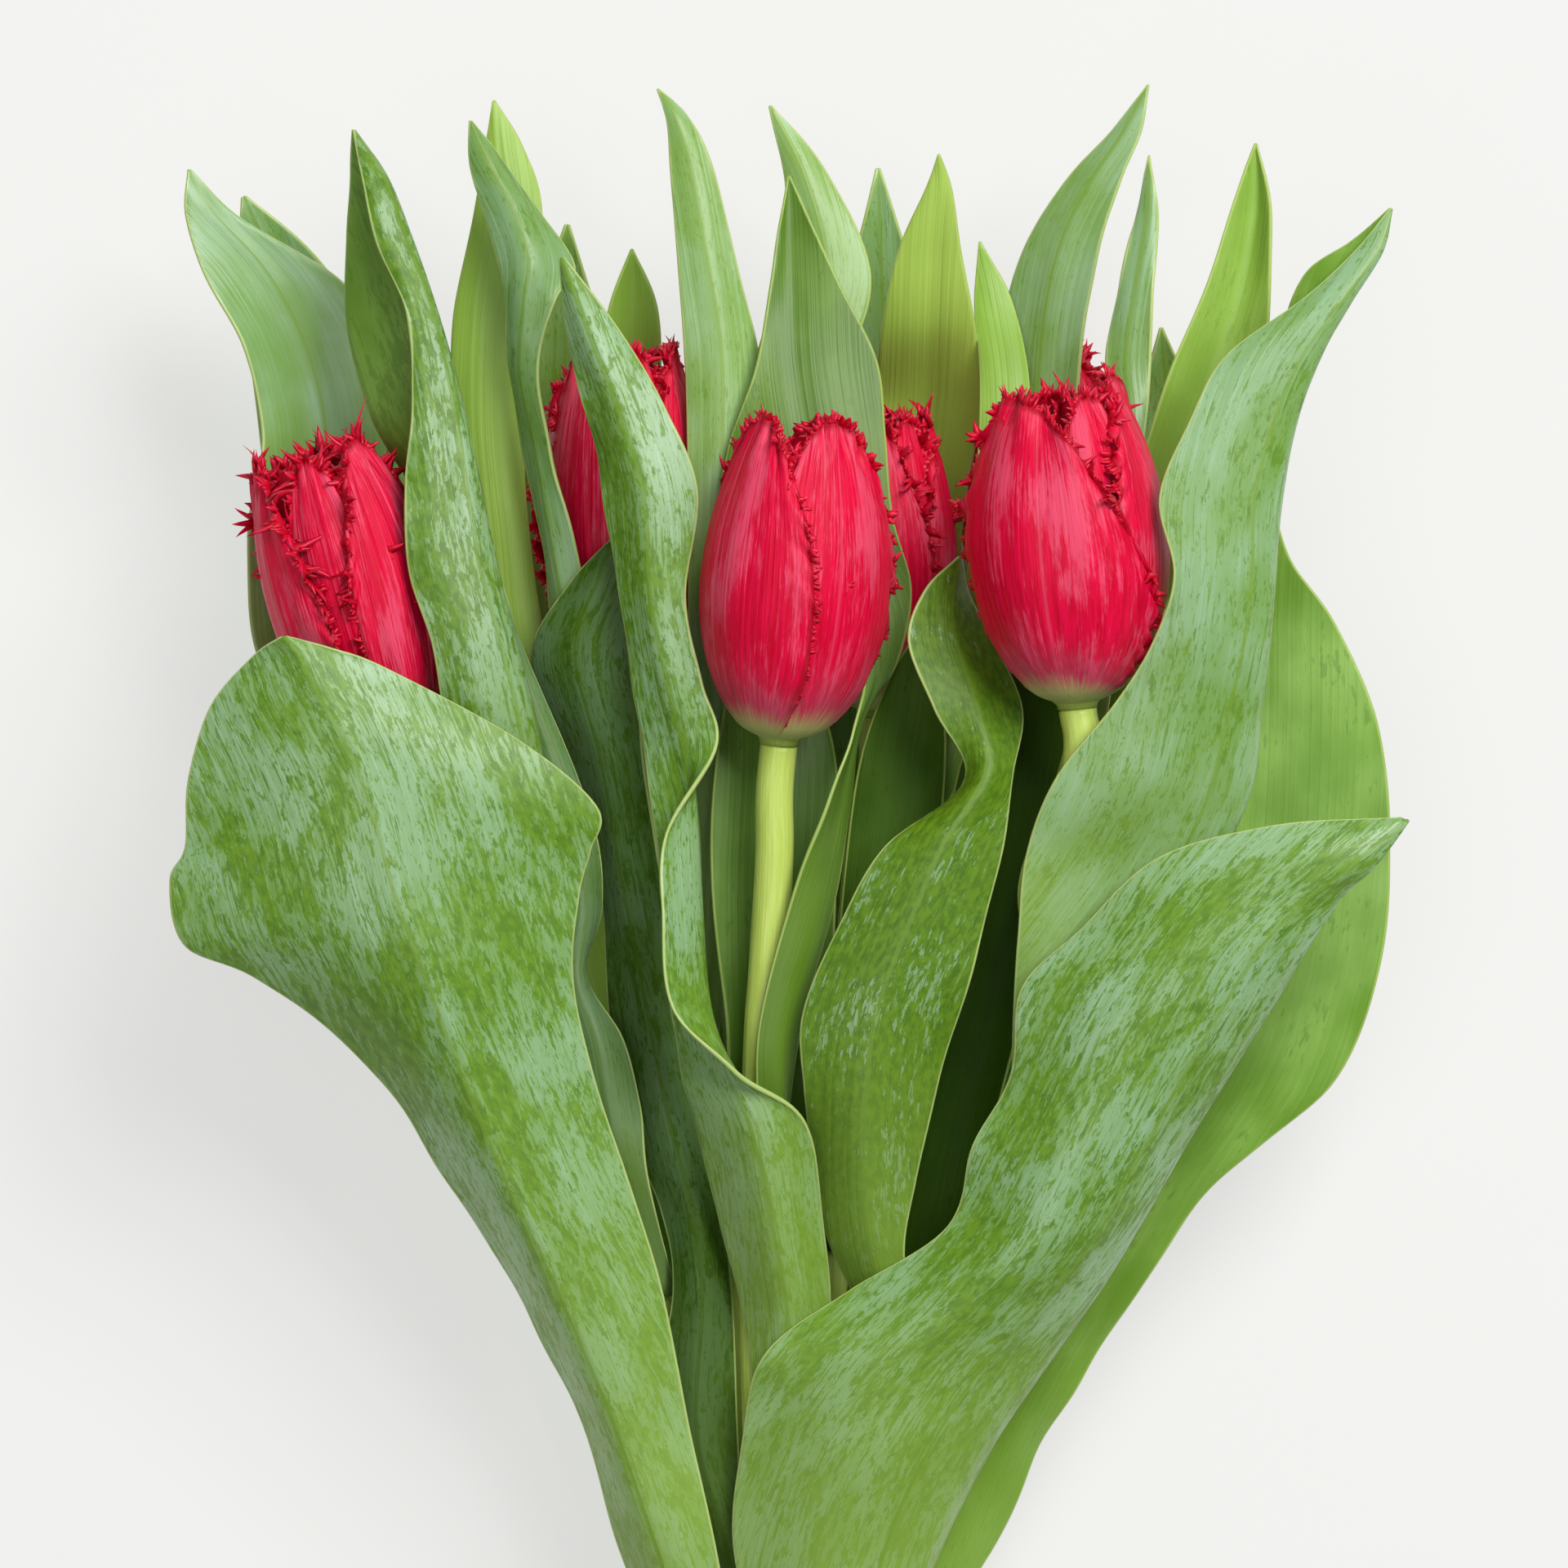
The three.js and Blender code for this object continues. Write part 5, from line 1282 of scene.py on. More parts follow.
def thorn_faces(count: int) -> list[Array]:
    """The faces of a row of thorns, each of 13 points: a base, two rows of walls and four sides of a tip.

    Args:
        count: how many thorns.

    Returns:
        A block of quads and a block of triangles.
    """
    here = np.arange(4)
    after = (here + 1) % 4
    lower = np.stack([here, after, after + 4, here + 4], axis=1)
    quads = np.concatenate([[[3, 2, 1, 0]], lower, lower + 4])
    tips = fan(12, here + 8, after + 8)
    shift = 13 * np.arange(count)[:, None, None]
    return [(block + shift).reshape(-1, block.shape[1]) for block in (quads, tips)]


@dataclass
class Bloom:
    """A closed fringed bloom: three outer and three inner petals on one receptacle."""

    letter: str
    plan: TulipPlan
    inner_half_angle: float = 52.0
    foot_radius: float = 3.6

    def build(self, finishes: list[Material]) -> Made:
        """Builds the six petals and the receptacle as one mesh.

        Args:
            finishes: the petal's outer face, its inner face, its fringe and the receptacle.

        Returns:
            The bloom's object.
        """
        parcel, plan = Parcel(), self.plan
        steps = (0, 120, 240)
        outer = plan.outer or [(plan.turn + step, plan.half_angle, 1, 0) for step in steps]
        inner = plan.inner or [(plan.turn + 60 + step, self.inner_half_angle, 1, 0) for step in steps]
        for k, petal in enumerate(outer):
            Petal(Ring.OUTER, plan, *petal, seed=plan.seed * 10 + k).add_to(parcel)
        for k, petal in enumerate(inner):
            Petal(Ring.INNER, plan, *petal, seed=plan.seed * 10 + k + 5, rows=48, columns=27).add_to(parcel)
        g = plan.girth
        outline = [(0, 0), (self.foot_radius, 0), (3.7, 0.7), (4.1 * g, 1.5), (5.0 * g, 2.5), (6.1 * g, 3.6)]
        outline += [(5 * g, SEAT_HEIGHT), (0, SEAT_HEIGHT)]
        points, faces, place = turned_form(np.array(outline), 24)
        marks = plain_marks(place, plan.seed, place[:, 1] / SEAT_HEIGHT, 0.0)
        parcel.add(BloomFrame(plan).to_bunch(points), faces, 3, *marks)
        return parcel.build("bloom_" + self.letter + "_petals", finishes)


@dataclass
class Pistil:
    """The three-lobed pistil and its six stamens, on one small disc.

    The outline and a stamen's line are pairs of radius and height. The filament's and the anther's sizes are
    their radii, and the anther's half sine starts low and has a span.
    """

    letter: str
    plan: TulipPlan
    outline: tuple = ((0, 0), (3.2, 0), (3.4, 0.7), (3.2, 1.3), (2.3, 1.7), (2.1, 4), (2.2, 12), (2.1, 19),
                      (2.7, 20.6), (3.2, 22.0), (2.9, 22.9), (1.4, 22.6), (0, 22.2))
    sides: int = 30
    lobe: float = 0.16
    stamens: int = 6
    stamen_line: tuple = ((2.8, 6.4), (4.6, 15), (5.4, 24))
    filament: float = 0.55
    anther: float = 1.05
    anther_from: float = 15.5
    anther_sine: tuple = (14.6, 10.4)
    height: float = 22.0
    stamen_height: float = 18.0

    def build(self, finishes: list[Material]) -> Made:
        """Turns the pistil's outline and sweeps six stamens round it.

        Three lobes come from 1 less a share of 1 less the cosine of three times the angle, which sets in
        toward the top. An anther's radius is the root of half a sine of its height.

        Args:
            finishes: the pistil's finish and the anthers'.

        Returns:
            The object.
        """
        frame = BloomFrame(self.plan)
        parcel = Parcel()
        points, faces, place = turned_form(np.array(self.outline, float), self.sides)
        angle = np.arctan2(points[:, 1], points[:, 0])
        lobe = 1 - self.lobe * (1 - np.cos(3 * angle)) * smooth(2, 21, points[:, 2])
        points = points * np.column_stack([lobe, lobe, np.ones(len(lobe))])
        points[:, 2] += SEAT_HEIGHT + SEAT_GAP
        marks = plain_marks(place, self.plan.seed, place[:, 1] / self.height, 0.0)
        parcel.add(frame.to_bunch(points), faces, 0, *marks)
        line = through(np.array(self.stamen_line, float), np.linspace(0, 1, 15))
        out, height = line[:, 0], line[:, 1]
        low, span = self.anther_sine
        swell = self.anther * np.maximum(np.sin(np.pi * (height - low) / span), 0) ** 0.5
        radius = np.where(height < self.anther_from, self.filament, swell)
        for k in range(self.stamens):
            turn = k / self.stamens * 2 * math.pi
            path = np.column_stack([out * math.cos(turn), out * math.sin(turn), height])
            points, faces, place = rod(path, radius, 10)
            first = np.concatenate([block[:, 0] for block in faces])
            finish = (points[first, 2] > self.anther_from + 0.1).astype(int)
            marks = plain_marks(place, self.plan.seed + k, place[:, 1] / self.stamen_height, 0.0)
            parcel.add(frame.to_bunch(points), faces, finish, *marks)
        return parcel.build("pistil_and_stamens_" + self.letter + "_parts", finishes)


@dataclass
class Tie:
    """The rubber band round the stems, wound twice, so that a shallow groove runs between its turns.

    The place is the middle of its ring, and the corner is the power that makes its section a rounded strap.
    """

    place: tuple = (3.0, -55.0, -15.0)
    inner_radius: float = 13.0
    thickness: float = 1.8
    width: float = 5.0
    corner: float = 0.35
    groove: float = 0.55
    groove_width: float = 0.32
    sway: float = 0.25
    sides: int = 96
    across: int = 40

    def build(self, finish: Material) -> Made:
        """Carries a rounded strap section, with a groove in its outer side, round the bundle's line.

        The section is a circle whose cosine and sine are taken to a low power, less a bell curve for the
        groove. Slow waves round the ring shift it along the stems.

        Args:
            finish: the band's finish.

        Returns:
            The tie's object.
        """
        q = np.arange(self.across) / self.across * 2 * math.pi
        y = self.width / 2 * np.sign(np.cos(q)) * np.abs(np.cos(q)) ** self.corner
        x = self.thickness / 2 * np.sign(np.sin(q)) * np.abs(np.sin(q)) ** self.corner
        groove = self.groove * np.exp(-((y / self.groove_width) ** 2)) * (x > 0)
        radius = self.inner_radius + self.thickness / 2 + x - groove
        angle = np.arange(self.sides) / self.sides * 2 * math.pi
        rng = np.random.default_rng(5)
        sway = self.sway * waves(np.cos(angle) * 10 + np.sin(angle) * 7, rng, 12)
        centre = np.array(self.place)
        points = np.stack([
            radius[None] * np.cos(angle)[:, None],
            y[None] + sway[:, None],
            radius[None] * np.sin(angle)[:, None],
        ], axis=-1).reshape(-1, 3) + centre
        grid = np.arange(self.sides * self.across).reshape(self.sides, self.across)
        beside, after = np.roll(grid, -1, axis=1), np.roll(grid, -1, axis=0)
        beyond = np.roll(after, -1, axis=1)
        faces = np.stack([a.ravel() for a in (grid, after, beyond, beside)], axis=1)
        corners = points[faces[0]]
        facing = np.cross(corners[1] - corners[0], corners[3] - corners[0])
        section = centre + np.array([self.inner_radius + self.thickness / 2, 0, 0])
        if np.dot(facing, corners[0] - section) < 0:
            faces = faces[:, ::-1]
        place = np.stack([np.tile(q, self.sides), np.repeat(angle * self.inner_radius, self.across)], axis=1)
        parcel = Parcel()
        marks = plain_marks(place, 3.0, place[:, 1] / place[:, 1].max(), 0.0)
        parcel.add(points, [faces], 0, *marks)
        return parcel.build("tie_band", [finish])


# ---- finishes


Colour = tuple[float, float, float, float]
Socket = bpy.types.NodeSocket
Value = Socket | float | Colour
Outputs = bpy.types.bpy_prop_collection

# The full height of a plant's surface relief, in metres.
RELIEF_DEPTH = 0.0005


def paint(red: int, green: int, blue: int) -> Colour:
    """A screen colour as linear light: c over 12.92 near black, and ((c + 0.055) / 1.055)^2.4 above.

    Args:
        red: the red channel, 0 to 255.
        green: the green channel.
        blue: the blue channel.

    Returns:
        The colour with an alpha of 1.
    """
    def linear(value: int) -> float:
        """One channel."""
        c = value / 255
        return c / 12.92 if c <= 0.04045 else ((c + 0.055) / 1.055) ** 2.4
    return (linear(red), linear(green), linear(blue), 1.0)


class Wiring:
    """Short calls for the nodes of one tree. Each value is a socket to link or a plain value to set."""

    def __init__(self, tree: Tree) -> None:
        """Keeps the tree."""
        self.tree = tree

    def node(self, kind: str, **settings: str | bool | Tree) -> Node:
        """A new node.

        Args:
            kind: the node's type.
            settings: its properties by their names.

        Returns:
            The node.
        """
        made = self.tree.nodes.new(kind)
        for name, value in settings.items():
            setattr(made, name, value)
        return made

    def feed(self, socket: Socket, value: Value) -> None:
        """Links a value to a socket, or sets it.

        Args:
            socket: the input.
            value: what it gets.
        """
        if isinstance(value, Socket):
            self.tree.links.new(value, socket)
        else:
            socket.default_value = value

    def maths(self, operation: str, a: Value, b: Value = 0.0, clamp: bool = False) -> Socket:
        """One operation.

        Args:
            operation: its name.
            a: the first value.
            b: the second value.
            clamp: whether the result is kept from 0 to 1.

        Returns:
            The result.
        """
        made = self.node("ShaderNodeMath", operation=operation, use_clamp=clamp)
        self.feed(made.inputs[0], a)
        self.feed(made.inputs[1], b)
        return made.outputs[0]

    def times(self, a: Value, b: Value) -> Socket:
        """The product of two values."""
        return self.maths("MULTIPLY", a, b)

    def plus(self, base: Value, value: Value, share: Value) -> Socket:
        """The base plus a share of a value."""
        return self.maths("ADD", base, self.times(value, share))

    def step(self, value: Value, low: float, high: float) -> Socket:
        """A smooth step.

        Args:
            value: what is stepped.
            low: where the step is 0.
            high: where it is 1, which may lie below the first.

        Returns:
            The step, from 0 to 1.
        """
        made = self.node("ShaderNodeMapRange", interpolation_type="SMOOTHSTEP")
        turned = low > high
        self.feed(made.inputs["Value"], value)
        made.inputs["From Min"].default_value = min(low, high)
        made.inputs["From Max"].default_value = max(low, high)
        made.inputs["To Min"].default_value = 1.0 if turned else 0.0
        made.inputs["To Max"].default_value = 0.0 if turned else 1.0
        return made.outputs["Result"]

    def mix(self, share: Value, a: Value, b: Value) -> Socket:
        """A colour between two.

        Args:
            share: 0 for the first, 1 for the second.
            a: the first colour.
            b: the second colour.

        Returns:
            The colour.
        """
        made = self.node("ShaderNodeMix", data_type="RGBA")
        self.feed(made.inputs["Factor"], share)
        self.feed(made.inputs[6], a)
        self.feed(made.inputs[7], b)
        return made.outputs[2]

    def tint(self, colour: Value, mask: Value, strength: float, other: Value) -> Socket:
        """A colour moved toward another under a mask, as far as the strength where the mask is 1."""
        return self.mix(self.times(mask, strength), colour, other)

    def noise(self, vector: Socket, scale: tuple, detail: float = 3.0, rough: float = 0.55) -> Socket:
        """Noise of a vector whose three parts are scaled first.

        Args:
            vector: the vector.
            scale: the scale of each part.
            detail: how many octaves.
            rough: the share of each octave in the one before.

        Returns:
            The noise, about 0.5.
        """
        stretched = self.node("ShaderNodeVectorMath", operation="MULTIPLY")
        self.feed(stretched.inputs[0], vector)
        stretched.inputs[1].default_value = scale
        made = self.node("ShaderNodeTexNoise", noise_dimensions="3D")
        self.tree.links.new(stretched.outputs[0], made.inputs["Vector"])
        made.inputs["Scale"].default_value = 1.0
        made.inputs["Detail"].default_value = detail
        made.inputs["Roughness"].default_value = rough
        return made.outputs["Fac"]

    def split(self, vector: Socket) -> tuple[Socket, ...]:
        """The three parts of a vector.

        Args:
            vector: the vector.

        Returns:
            Its parts.
        """
        made = self.node("ShaderNodeSeparateXYZ")
        self.feed(made.inputs[0], vector)
        return tuple(made.outputs)

    def mark(self, name: str) -> Socket:
        """A vector that the piece carries on its points."""
        return self.node("ShaderNodeAttribute", attribute_name=name).outputs["Vector"]

    def group(self, tree: Tree, **inputs: Value) -> Outputs:
        """A shader group with its inputs fed.

        Args:
            tree: the group.
            inputs: its inputs by their names.

        Returns:
            Its outputs.
        """
        made = self.node("ShaderNodeGroup", node_tree=tree)
        for name, value in inputs.items():
            self.feed(made.inputs[name], value)
        return made.outputs


def new_group(name: str, inputs: dict, outputs: dict) -> tuple[Wiring, Node, Node]:
    """An empty shader group with its sockets.

    Args:
        name: the group's name.
        inputs: socket names and their kinds.
        outputs: socket names and their kinds.

    Returns:
        Its wiring, its input node and its output node.
    """
    tree = bpy.data.node_groups.new(name, "ShaderNodeTree")
    for socket, kind in inputs.items():
        tree.interface.new_socket(socket, in_out="INPUT", socket_type="NodeSocket" + kind)
    for socket, kind in outputs.items():
        tree.interface.new_socket(socket, in_out="OUTPUT", socket_type="NodeSocket" + kind)
    wiring = Wiring(tree)
    return wiring, wiring.node("NodeGroupInput"), wiring.node("NodeGroupOutput")


class Grain(Enum):
    """The noises of plant grain: the scale across, along and by seed, the octaves, and their roughness."""

    VEINS = ((1.1, 0.008, 1.0), 2.0, 0.6)
    STREAKS = ((1.15, 0.09, 1.0), 3.0, 0.62)
    DASHES = ((1.3, 0.07, 1.0), 5.0, 0.66)
    PATCHES = ((0.09, 0.05, 1.0), 3.0, 0.5)
    MOTTLE = ((0.85, 0.24, 1.0), 6.0, 0.68)
    SPECKLE = ((0.8, 0.45, 1.0), 3.0, 0.6)
    FLECKS = ((2.0, 0.42, 1.0), 4.0, 0.62)


def grain_group() -> Tree:
    """Plant grain: long fine veins, streaks and thin dashes along them, patches, mottle, speckle and flecks.

    Each is a noise of the millimetre marks, squeezed across the veins and stretched along them. The mottle
    and the dashes have many octaves, so that a threshold of them has ragged edges.

    Returns:
        The group.
    """
    outputs = {grain.name.capitalize(): "Float" for grain in Grain}
    w, given, out = new_group("plant_grain", {"Grain": "Vector"}, outputs)
    for grain in Grain:
        scale, detail, rough = grain.value
        noise = w.noise(given.outputs["Grain"], scale, detail, rough)
        w.feed(out.inputs[grain.name.capitalize()], noise)
    return w.tree


def rim_group() -> Tree:
    """The line along a margin, and the foot: steps of the margin's distance and of the length. Each finish
    gives the foot its own colour; on the stems that colour is painted shade.

    Returns:
        The group.
    """
    w, given, out = new_group(
        "margin_and_foot",
        {"Zone": "Vector", "Line": "Float"},
        {"Margin": "Float", "Foot": "Float", "Share": "Float", "Side": "Float"},
    )
    margin, share, side = w.split(given.outputs["Zone"])
    near = w.maths("DIVIDE", margin, given.outputs["Line"])
    w.feed(out.inputs["Margin"], w.step(near, 1.0, 0.35))
    w.feed(out.inputs["Foot"], w.step(share, 0.42, 0.05))
    w.feed(out.inputs["Share"], share)
    w.feed(out.inputs["Side"], side)
    return w.tree


def shade_and_tone_group() -> Tree:
    """Shifts a green by the tone mark: above 0 toward a pale yellow green, and below 0 down toward a deep
    green, which is painted shade.

    The pale share is 0.8 of the mark. The painted shade's share, by which the green is multiplied down, is the
    mark's depth below 0 times 0.97, and a fifth less of it toward the tip, so that the painted shade is
    deepest toward the foot. Unshaded is 1 less that share, for leaves that are dull as well as painted in
    shade.

    Returns:
        The group.
    """
    w, given, out = new_group(
        "leaf_shade_and_tone",
        {"Colour": "Color", "Look": "Vector", "Zone": "Vector"},
        {"Colour": "Color", "Unshaded": "Float"},
    )
    tone, _, _ = w.split(given.outputs["Look"])
    _, share, _ = w.split(given.outputs["Zone"])
    # Above 0 the green pales toward yellow. Below 0 it is multiplied down toward a deep green: painted shade,
    # deepest toward the leaf's foot.
    up = w.times(w.maths("MAXIMUM", tone, 0.0), 0.8)
    fading = w.plus(0.97, w.step(share, 0.35, 0.95), -0.2)
    down = w.times(w.maths("MAXIMUM", w.times(tone, -1.0), 0.0), fading)
    pale = w.mix(up, given.outputs["Colour"], paint(172, 208, 86))
    # The painted shade: the green multiplied down toward a deep green.
    with_painted_shade = w.node("ShaderNodeMix", data_type="RGBA", blend_type="MULTIPLY")
    w.feed(with_painted_shade.inputs["Factor"], down)
    w.feed(with_painted_shade.inputs[6], pale)
    w.feed(with_painted_shade.inputs[7], (0.1, 0.145, 0.015, 1.0))
    w.feed(out.inputs["Colour"], with_painted_shade.outputs[2])
    w.feed(out.inputs["Unshaded"], w.maths("SUBTRACT", 1.0, down))
    return w.tree


@dataclass
class Groups:
    """The shader groups that several finishes share."""

    grain: Tree = field(default_factory=grain_group)
    rim: Tree = field(default_factory=rim_group)
    tone: Tree = field(default_factory=shade_and_tone_group)


@dataclass
class Coating:
    """A material being wired: its shader, and the marks and groups that its finish reads."""

    name: str
    groups: Groups
    material: Material = field(init=False)
    shader: Node = field(init=False)
    wiring: Wiring = field(init=False)

    def __post_init__(self) -> None:
        """Makes the material."""
        self.material = bpy.data.materials.new(self.name)
        self.material.use_nodes = True
        self.shader = self.material.node_tree.nodes["Principled BSDF"]
        self.wiring = Wiring(self.material.node_tree)

    def feed(self, **values: Value) -> None:
        """Feeds the shader's sockets, whose spaces are written as underscores."""
        for socket, value in values.items():
            self.wiring.feed(self.shader.inputs[socket.replace("_", " ")], value)

    def grain(self) -> Outputs:
        """The outputs of the plant grain, along the piece's own grain."""
        return self.wiring.group(self.groups.grain, Grain=self.wiring.mark("grain"))

    def rim(self, line: float) -> Outputs:
        """The outputs of the margin group, for a line so many millimetres wide."""
        return self.wiring.group(self.groups.rim, Zone=self.wiring.mark("zone"), Line=line)

    def shaded_and_toned(self, colour: Socket) -> Outputs:
        """The outputs of the shade and tone group for a green, which paints shade on leaves whose tone mark is
        under 0.
        """
        w = self.wiring
        return w.group(self.groups.tone, Colour=colour, Look=w.mark("look"), Zone=w.mark("zone"))

    def relief(self, height: Socket, depth: float = RELIEF_DEPTH, strength: float = 0.5) -> None:
        """Feeds a height to the shader's normal through a bump.

        Args:
            height: the height from 0 to 1.
            depth: its full height in metres.
            strength: the bump's strength.
        """
        bump = self.wiring.node("ShaderNodeBump")
        bump.inputs["Strength"].default_value = strength
        bump.inputs["Distance"].default_value = depth
        self.wiring.feed(bump.inputs["Height"], height)
        self.feed(Normal=bump.outputs["Normal"])


class Finish(ABC):
    """A finish, which wires a material of its own name."""

    name: str

    @abstractmethod
    def wire(self, coating: Coating) -> None:
        """Wires the finish into a new material."""

    def build(self, groups: Groups) -> Material:
        """Makes the material.

        Args:
            groups: the shader groups.

        Returns:
            The wired material.
        """
        coating = Coating(self.name, groups)
        self.wire(coating)
        return coating.material


@dataclass(frozen=True)
class WaxyLeaf(Finish):
    """The outer face: blue-green wax, rubbed through in ragged patches and thin dashes to yellow-green."""

    wax_pale: Colour = paint(150, 188, 142)
    wax_deep: Colour = paint(126, 168, 92)
    flesh_dark: Colour = paint(78, 122, 4)
    flesh_light: Colour = paint(108, 150, 20)
    foot: Colour = paint(148, 182, 74)
    margin: Colour = paint(186, 206, 124)
    midrib: Colour = paint(118, 154, 44)
    name: str = "leaf_outer_waxy"
    gloss: float = 0.4

    def worn(self, w: Wiring, grain: Outputs, rubbed: Socket) -> Socket:
        """Where the wax is gone: the most of the mottle, the dashes and the flecks over their thresholds.

        Patches and the rubbed mark lower the thresholds, and the whole grows with the rubbed mark.

        Args:
            w: the material's wiring.
            grain: the plant grain's outputs.
            rubbed: how far the leaf's wax is rubbed off.

        Returns:
            The share that is worn, 0 to 1.
        """
        spread = w.plus(w.times(grain["Patches"], 0.42), rubbed, 0.24)
        mottle = w.step(w.maths("ADD", grain["Mottle"], spread), 0.905, 0.935)
        dashes = w.step(w.plus(grain["Dashes"], spread, 0.5), 0.75, 0.775)
        flecks = w.step(w.plus(grain["Flecks"], spread, 0.4), 0.71, 0.74)
        worn = w.maths("MAXIMUM", w.times(mottle, 0.9), w.times(dashes, 0.85))
        worn = w.maths("MAXIMUM", worn, w.times(flecks, 0.75))
        return w.maths("MULTIPLY", worn, w.plus(0.6, rubbed, 0.55), clamp=True)

    def wire(self, coating: Coating) -> None:
        """Lays the wax over the flesh, worn through, and then the lines, foot, midrib, painted shade and tone,
        and margin.

        Args:
            coating: the material.
        """
        w, grain, rim = coating.wiring, coating.grain(), coating.rim(0.42)
        _, rubbed, _ = w.split(w.mark("look"))
        across, _, _ = w.split(w.mark("grain"))
        worn = self.worn(w, grain, rubbed)
        wax = w.mix(w.step(grain["Patches"], 0.66, 0.36), self.wax_deep, self.wax_pale)
        wax = w.tint(wax, w.step(grain["Streaks"], 0.42, 0.7), 0.35, self.wax_deep)
        flesh = w.mix(w.step(grain["Speckle"], 0.35, 0.65), self.flesh_dark, self.flesh_light)
        colour = w.mix(worn, wax, flesh)
        colour = w.tint(colour, w.step(grain["Veins"], 0.62, 0.5), 0.2, self.flesh_light)
        colour = w.tint(colour, rim["Foot"], 0.55, self.foot)
        colour = w.tint(colour, w.step(w.maths("ABSOLUTE", across), 0.55, 0.2), 0.6, self.midrib)
        shaded_and_toned = coating.shaded_and_toned(colour)
        coat = w.times(shaded_and_toned["Unshaded"], w.plus(0.17, worn, -0.08))
        rough = w.plus(w.plus(0.66, worn, 0.14), shaded_and_toned["Unshaded"], -0.3)
        colour = w.tint(shaded_and_toned["Colour"], rim["Margin"], 0.85, self.margin)
        coating.feed(Base_Color=colour, Roughness=rough, Coat_Weight=coat)
        coating.feed(Specular_IOR_Level=self.gloss, Coat_Roughness=0.28)
        coating.relief(w.plus(w.times(grain["Veins"], 0.8), grain["Speckle"], 0.12))


@dataclass(frozen=True)
class SmoothLeaf(Finish):
    """The inner face: an even fresh green with fine long lines, paler toward the foot."""

    green: Colour = paint(138, 182, 76)
    deep: Colour = paint(106, 152, 38)
    foot: Colour = paint(128, 170, 34)
    margin: Colour = paint(176, 200, 104)
    spot: Colour = paint(80, 124, 20)
    name: str = "leaf_inner_smooth"
    gloss: float = 0.45
    coat: float = 0.08

    def wire(self, coating: Coating) -> None:
        """Mixes two greens by the patches, and then the lines, spots, foot, painted shade and tone, and
        margin.

        Args:
            coating: the material.
        """
        w, grain, rim = coating.wiring, coating.grain(), coating.rim(0.42)
        _, rubbed, _ = w.split(w.mark("look"))
        colour = w.mix(w.step(grain["Patches"], 0.3, 0.72), self.deep, self.green)
        colour = w.tint(colour, w.step(grain["Veins"], 0.62, 0.4), 0.22, self.deep)
        spots = w.plus(w.plus(grain["Mottle"], grain["Patches"], 0.6), rubbed, 0.2)
        colour = w.tint(colour, w.step(spots, 0.98, 1.06), 0.45, self.spot)
        colour = w.tint(colour, rim["Foot"], 0.6, self.foot)
        colour = w.tint(coating.shaded_and_toned(colour)["Colour"], rim["Margin"], 0.75, self.margin)
        coating.feed(Base_Color=colour, Roughness=w.plus(0.4, grain["Patches"], 0.12))
        coating.feed(Specular_IOR_Level=self.gloss, Coat_Weight=self.coat, Coat_Roughness=0.4)
        coating.relief(grain["Veins"])


@dataclass(frozen=True)
class PetalFace(Finish):
    """A face of a petal: crimson with soft pink streaks, dull where its wax lies, and a greenish foot."""

    name: str
    deep: Colour
    bright: Colour
    waxy: Colour
    wax: float
    foot: Colour = paint(196, 200, 128)
    bruise: Colour = paint(180, 74, 100)
    margin: Colour = paint(168, 4, 28)
    sheen: Colour = (1.0, 0.5, 0.62, 1.0)

    def wire(self, coating: Coating) -> None:
        """Mixes two reds by the streaks, and then the wax, lines, a pale midline that is a painted highlight,
        margin, bruise and foot.

        Args:
            coating: the material.
        """
        w, grain, rim = coating.wiring, coating.grain(), coating.rim(1.8)
        share = rim["Share"]
        colour = w.mix(w.step(grain["Streaks"], 0.28, 0.72), self.deep, self.bright)
        waxy = w.plus(grain["Dashes"], grain["Patches"], 1.3)
        waxy = w.plus(waxy, w.step(share, 0.5, 0.1), 0.1)
        waxy = w.step(w.plus(waxy, grain["Flecks"], 0.5), 1.34, 1.6)
        colour = w.tint(colour, waxy, self.wax, self.waxy)
        colour = w.tint(colour, w.step(grain["Veins"], 0.6, 0.4), 0.08, self.deep)
        # A pale line along the petal's middle: a painted highlight.
        colour = w.tint(colour, w.step(w.maths("ABSOLUTE", rim["Side"]), 0.022, 0.006), 0.3, self.waxy)
        colour = w.tint(colour, rim["Margin"], 0.75, self.margin)
        streaks = w.maths("SUBTRACT", grain["Streaks"], 0.5)
        mottle = w.maths("SUBTRACT", grain["Mottle"], 0.5)
        ragged = w.plus(w.plus(share, streaks, 0.16), mottle, 0.25)
        colour = w.tint(colour, w.step(ragged, 0.42, 0.2), 0.55, self.bruise)
        colour = w.mix(w.step(w.plus(share, streaks, 0.14), 0.27, 0.14), colour, self.foot)
        coating.feed(Base_Color=colour, Roughness=w.plus(0.38, grain["Patches"], 0.14))
        coating.feed(Specular_IOR_Level=0.15, Sheen_Weight=0.02, Sheen_Roughness=0.4, Sheen_Tint=self.sheen)
        coating.relief(w.plus(grain["Veins"], grain["Streaks"], 0.4))


@dataclass(frozen=True)
class Fringe(Finish):
    """The fringe: glassy dark red thorns, brighter at their points."""

    name: str = "petal_fringe"
    root: Colour = paint(200, 0, 38)
    point: Colour = paint(240, 36, 80)

    def wire(self, coating: Coating) -> None:
        """Brightens the red toward the thorns' points, more where the noise is high.

        Args:
            coating: the material.
        """
        w = coating.wiring
        _, way, _ = w.split(w.mark("zone"))
        noise = w.noise(w.mark("grain"), (0.5, 0.5, 0.5))
        colour = w.mix(w.times(way, w.step(noise, 0.35, 0.65)), self.root, self.point)
        coating.feed(Base_Color=colour, Roughness=w.plus(0.3, noise, 0.15), Specular_IOR_Level=0.35)


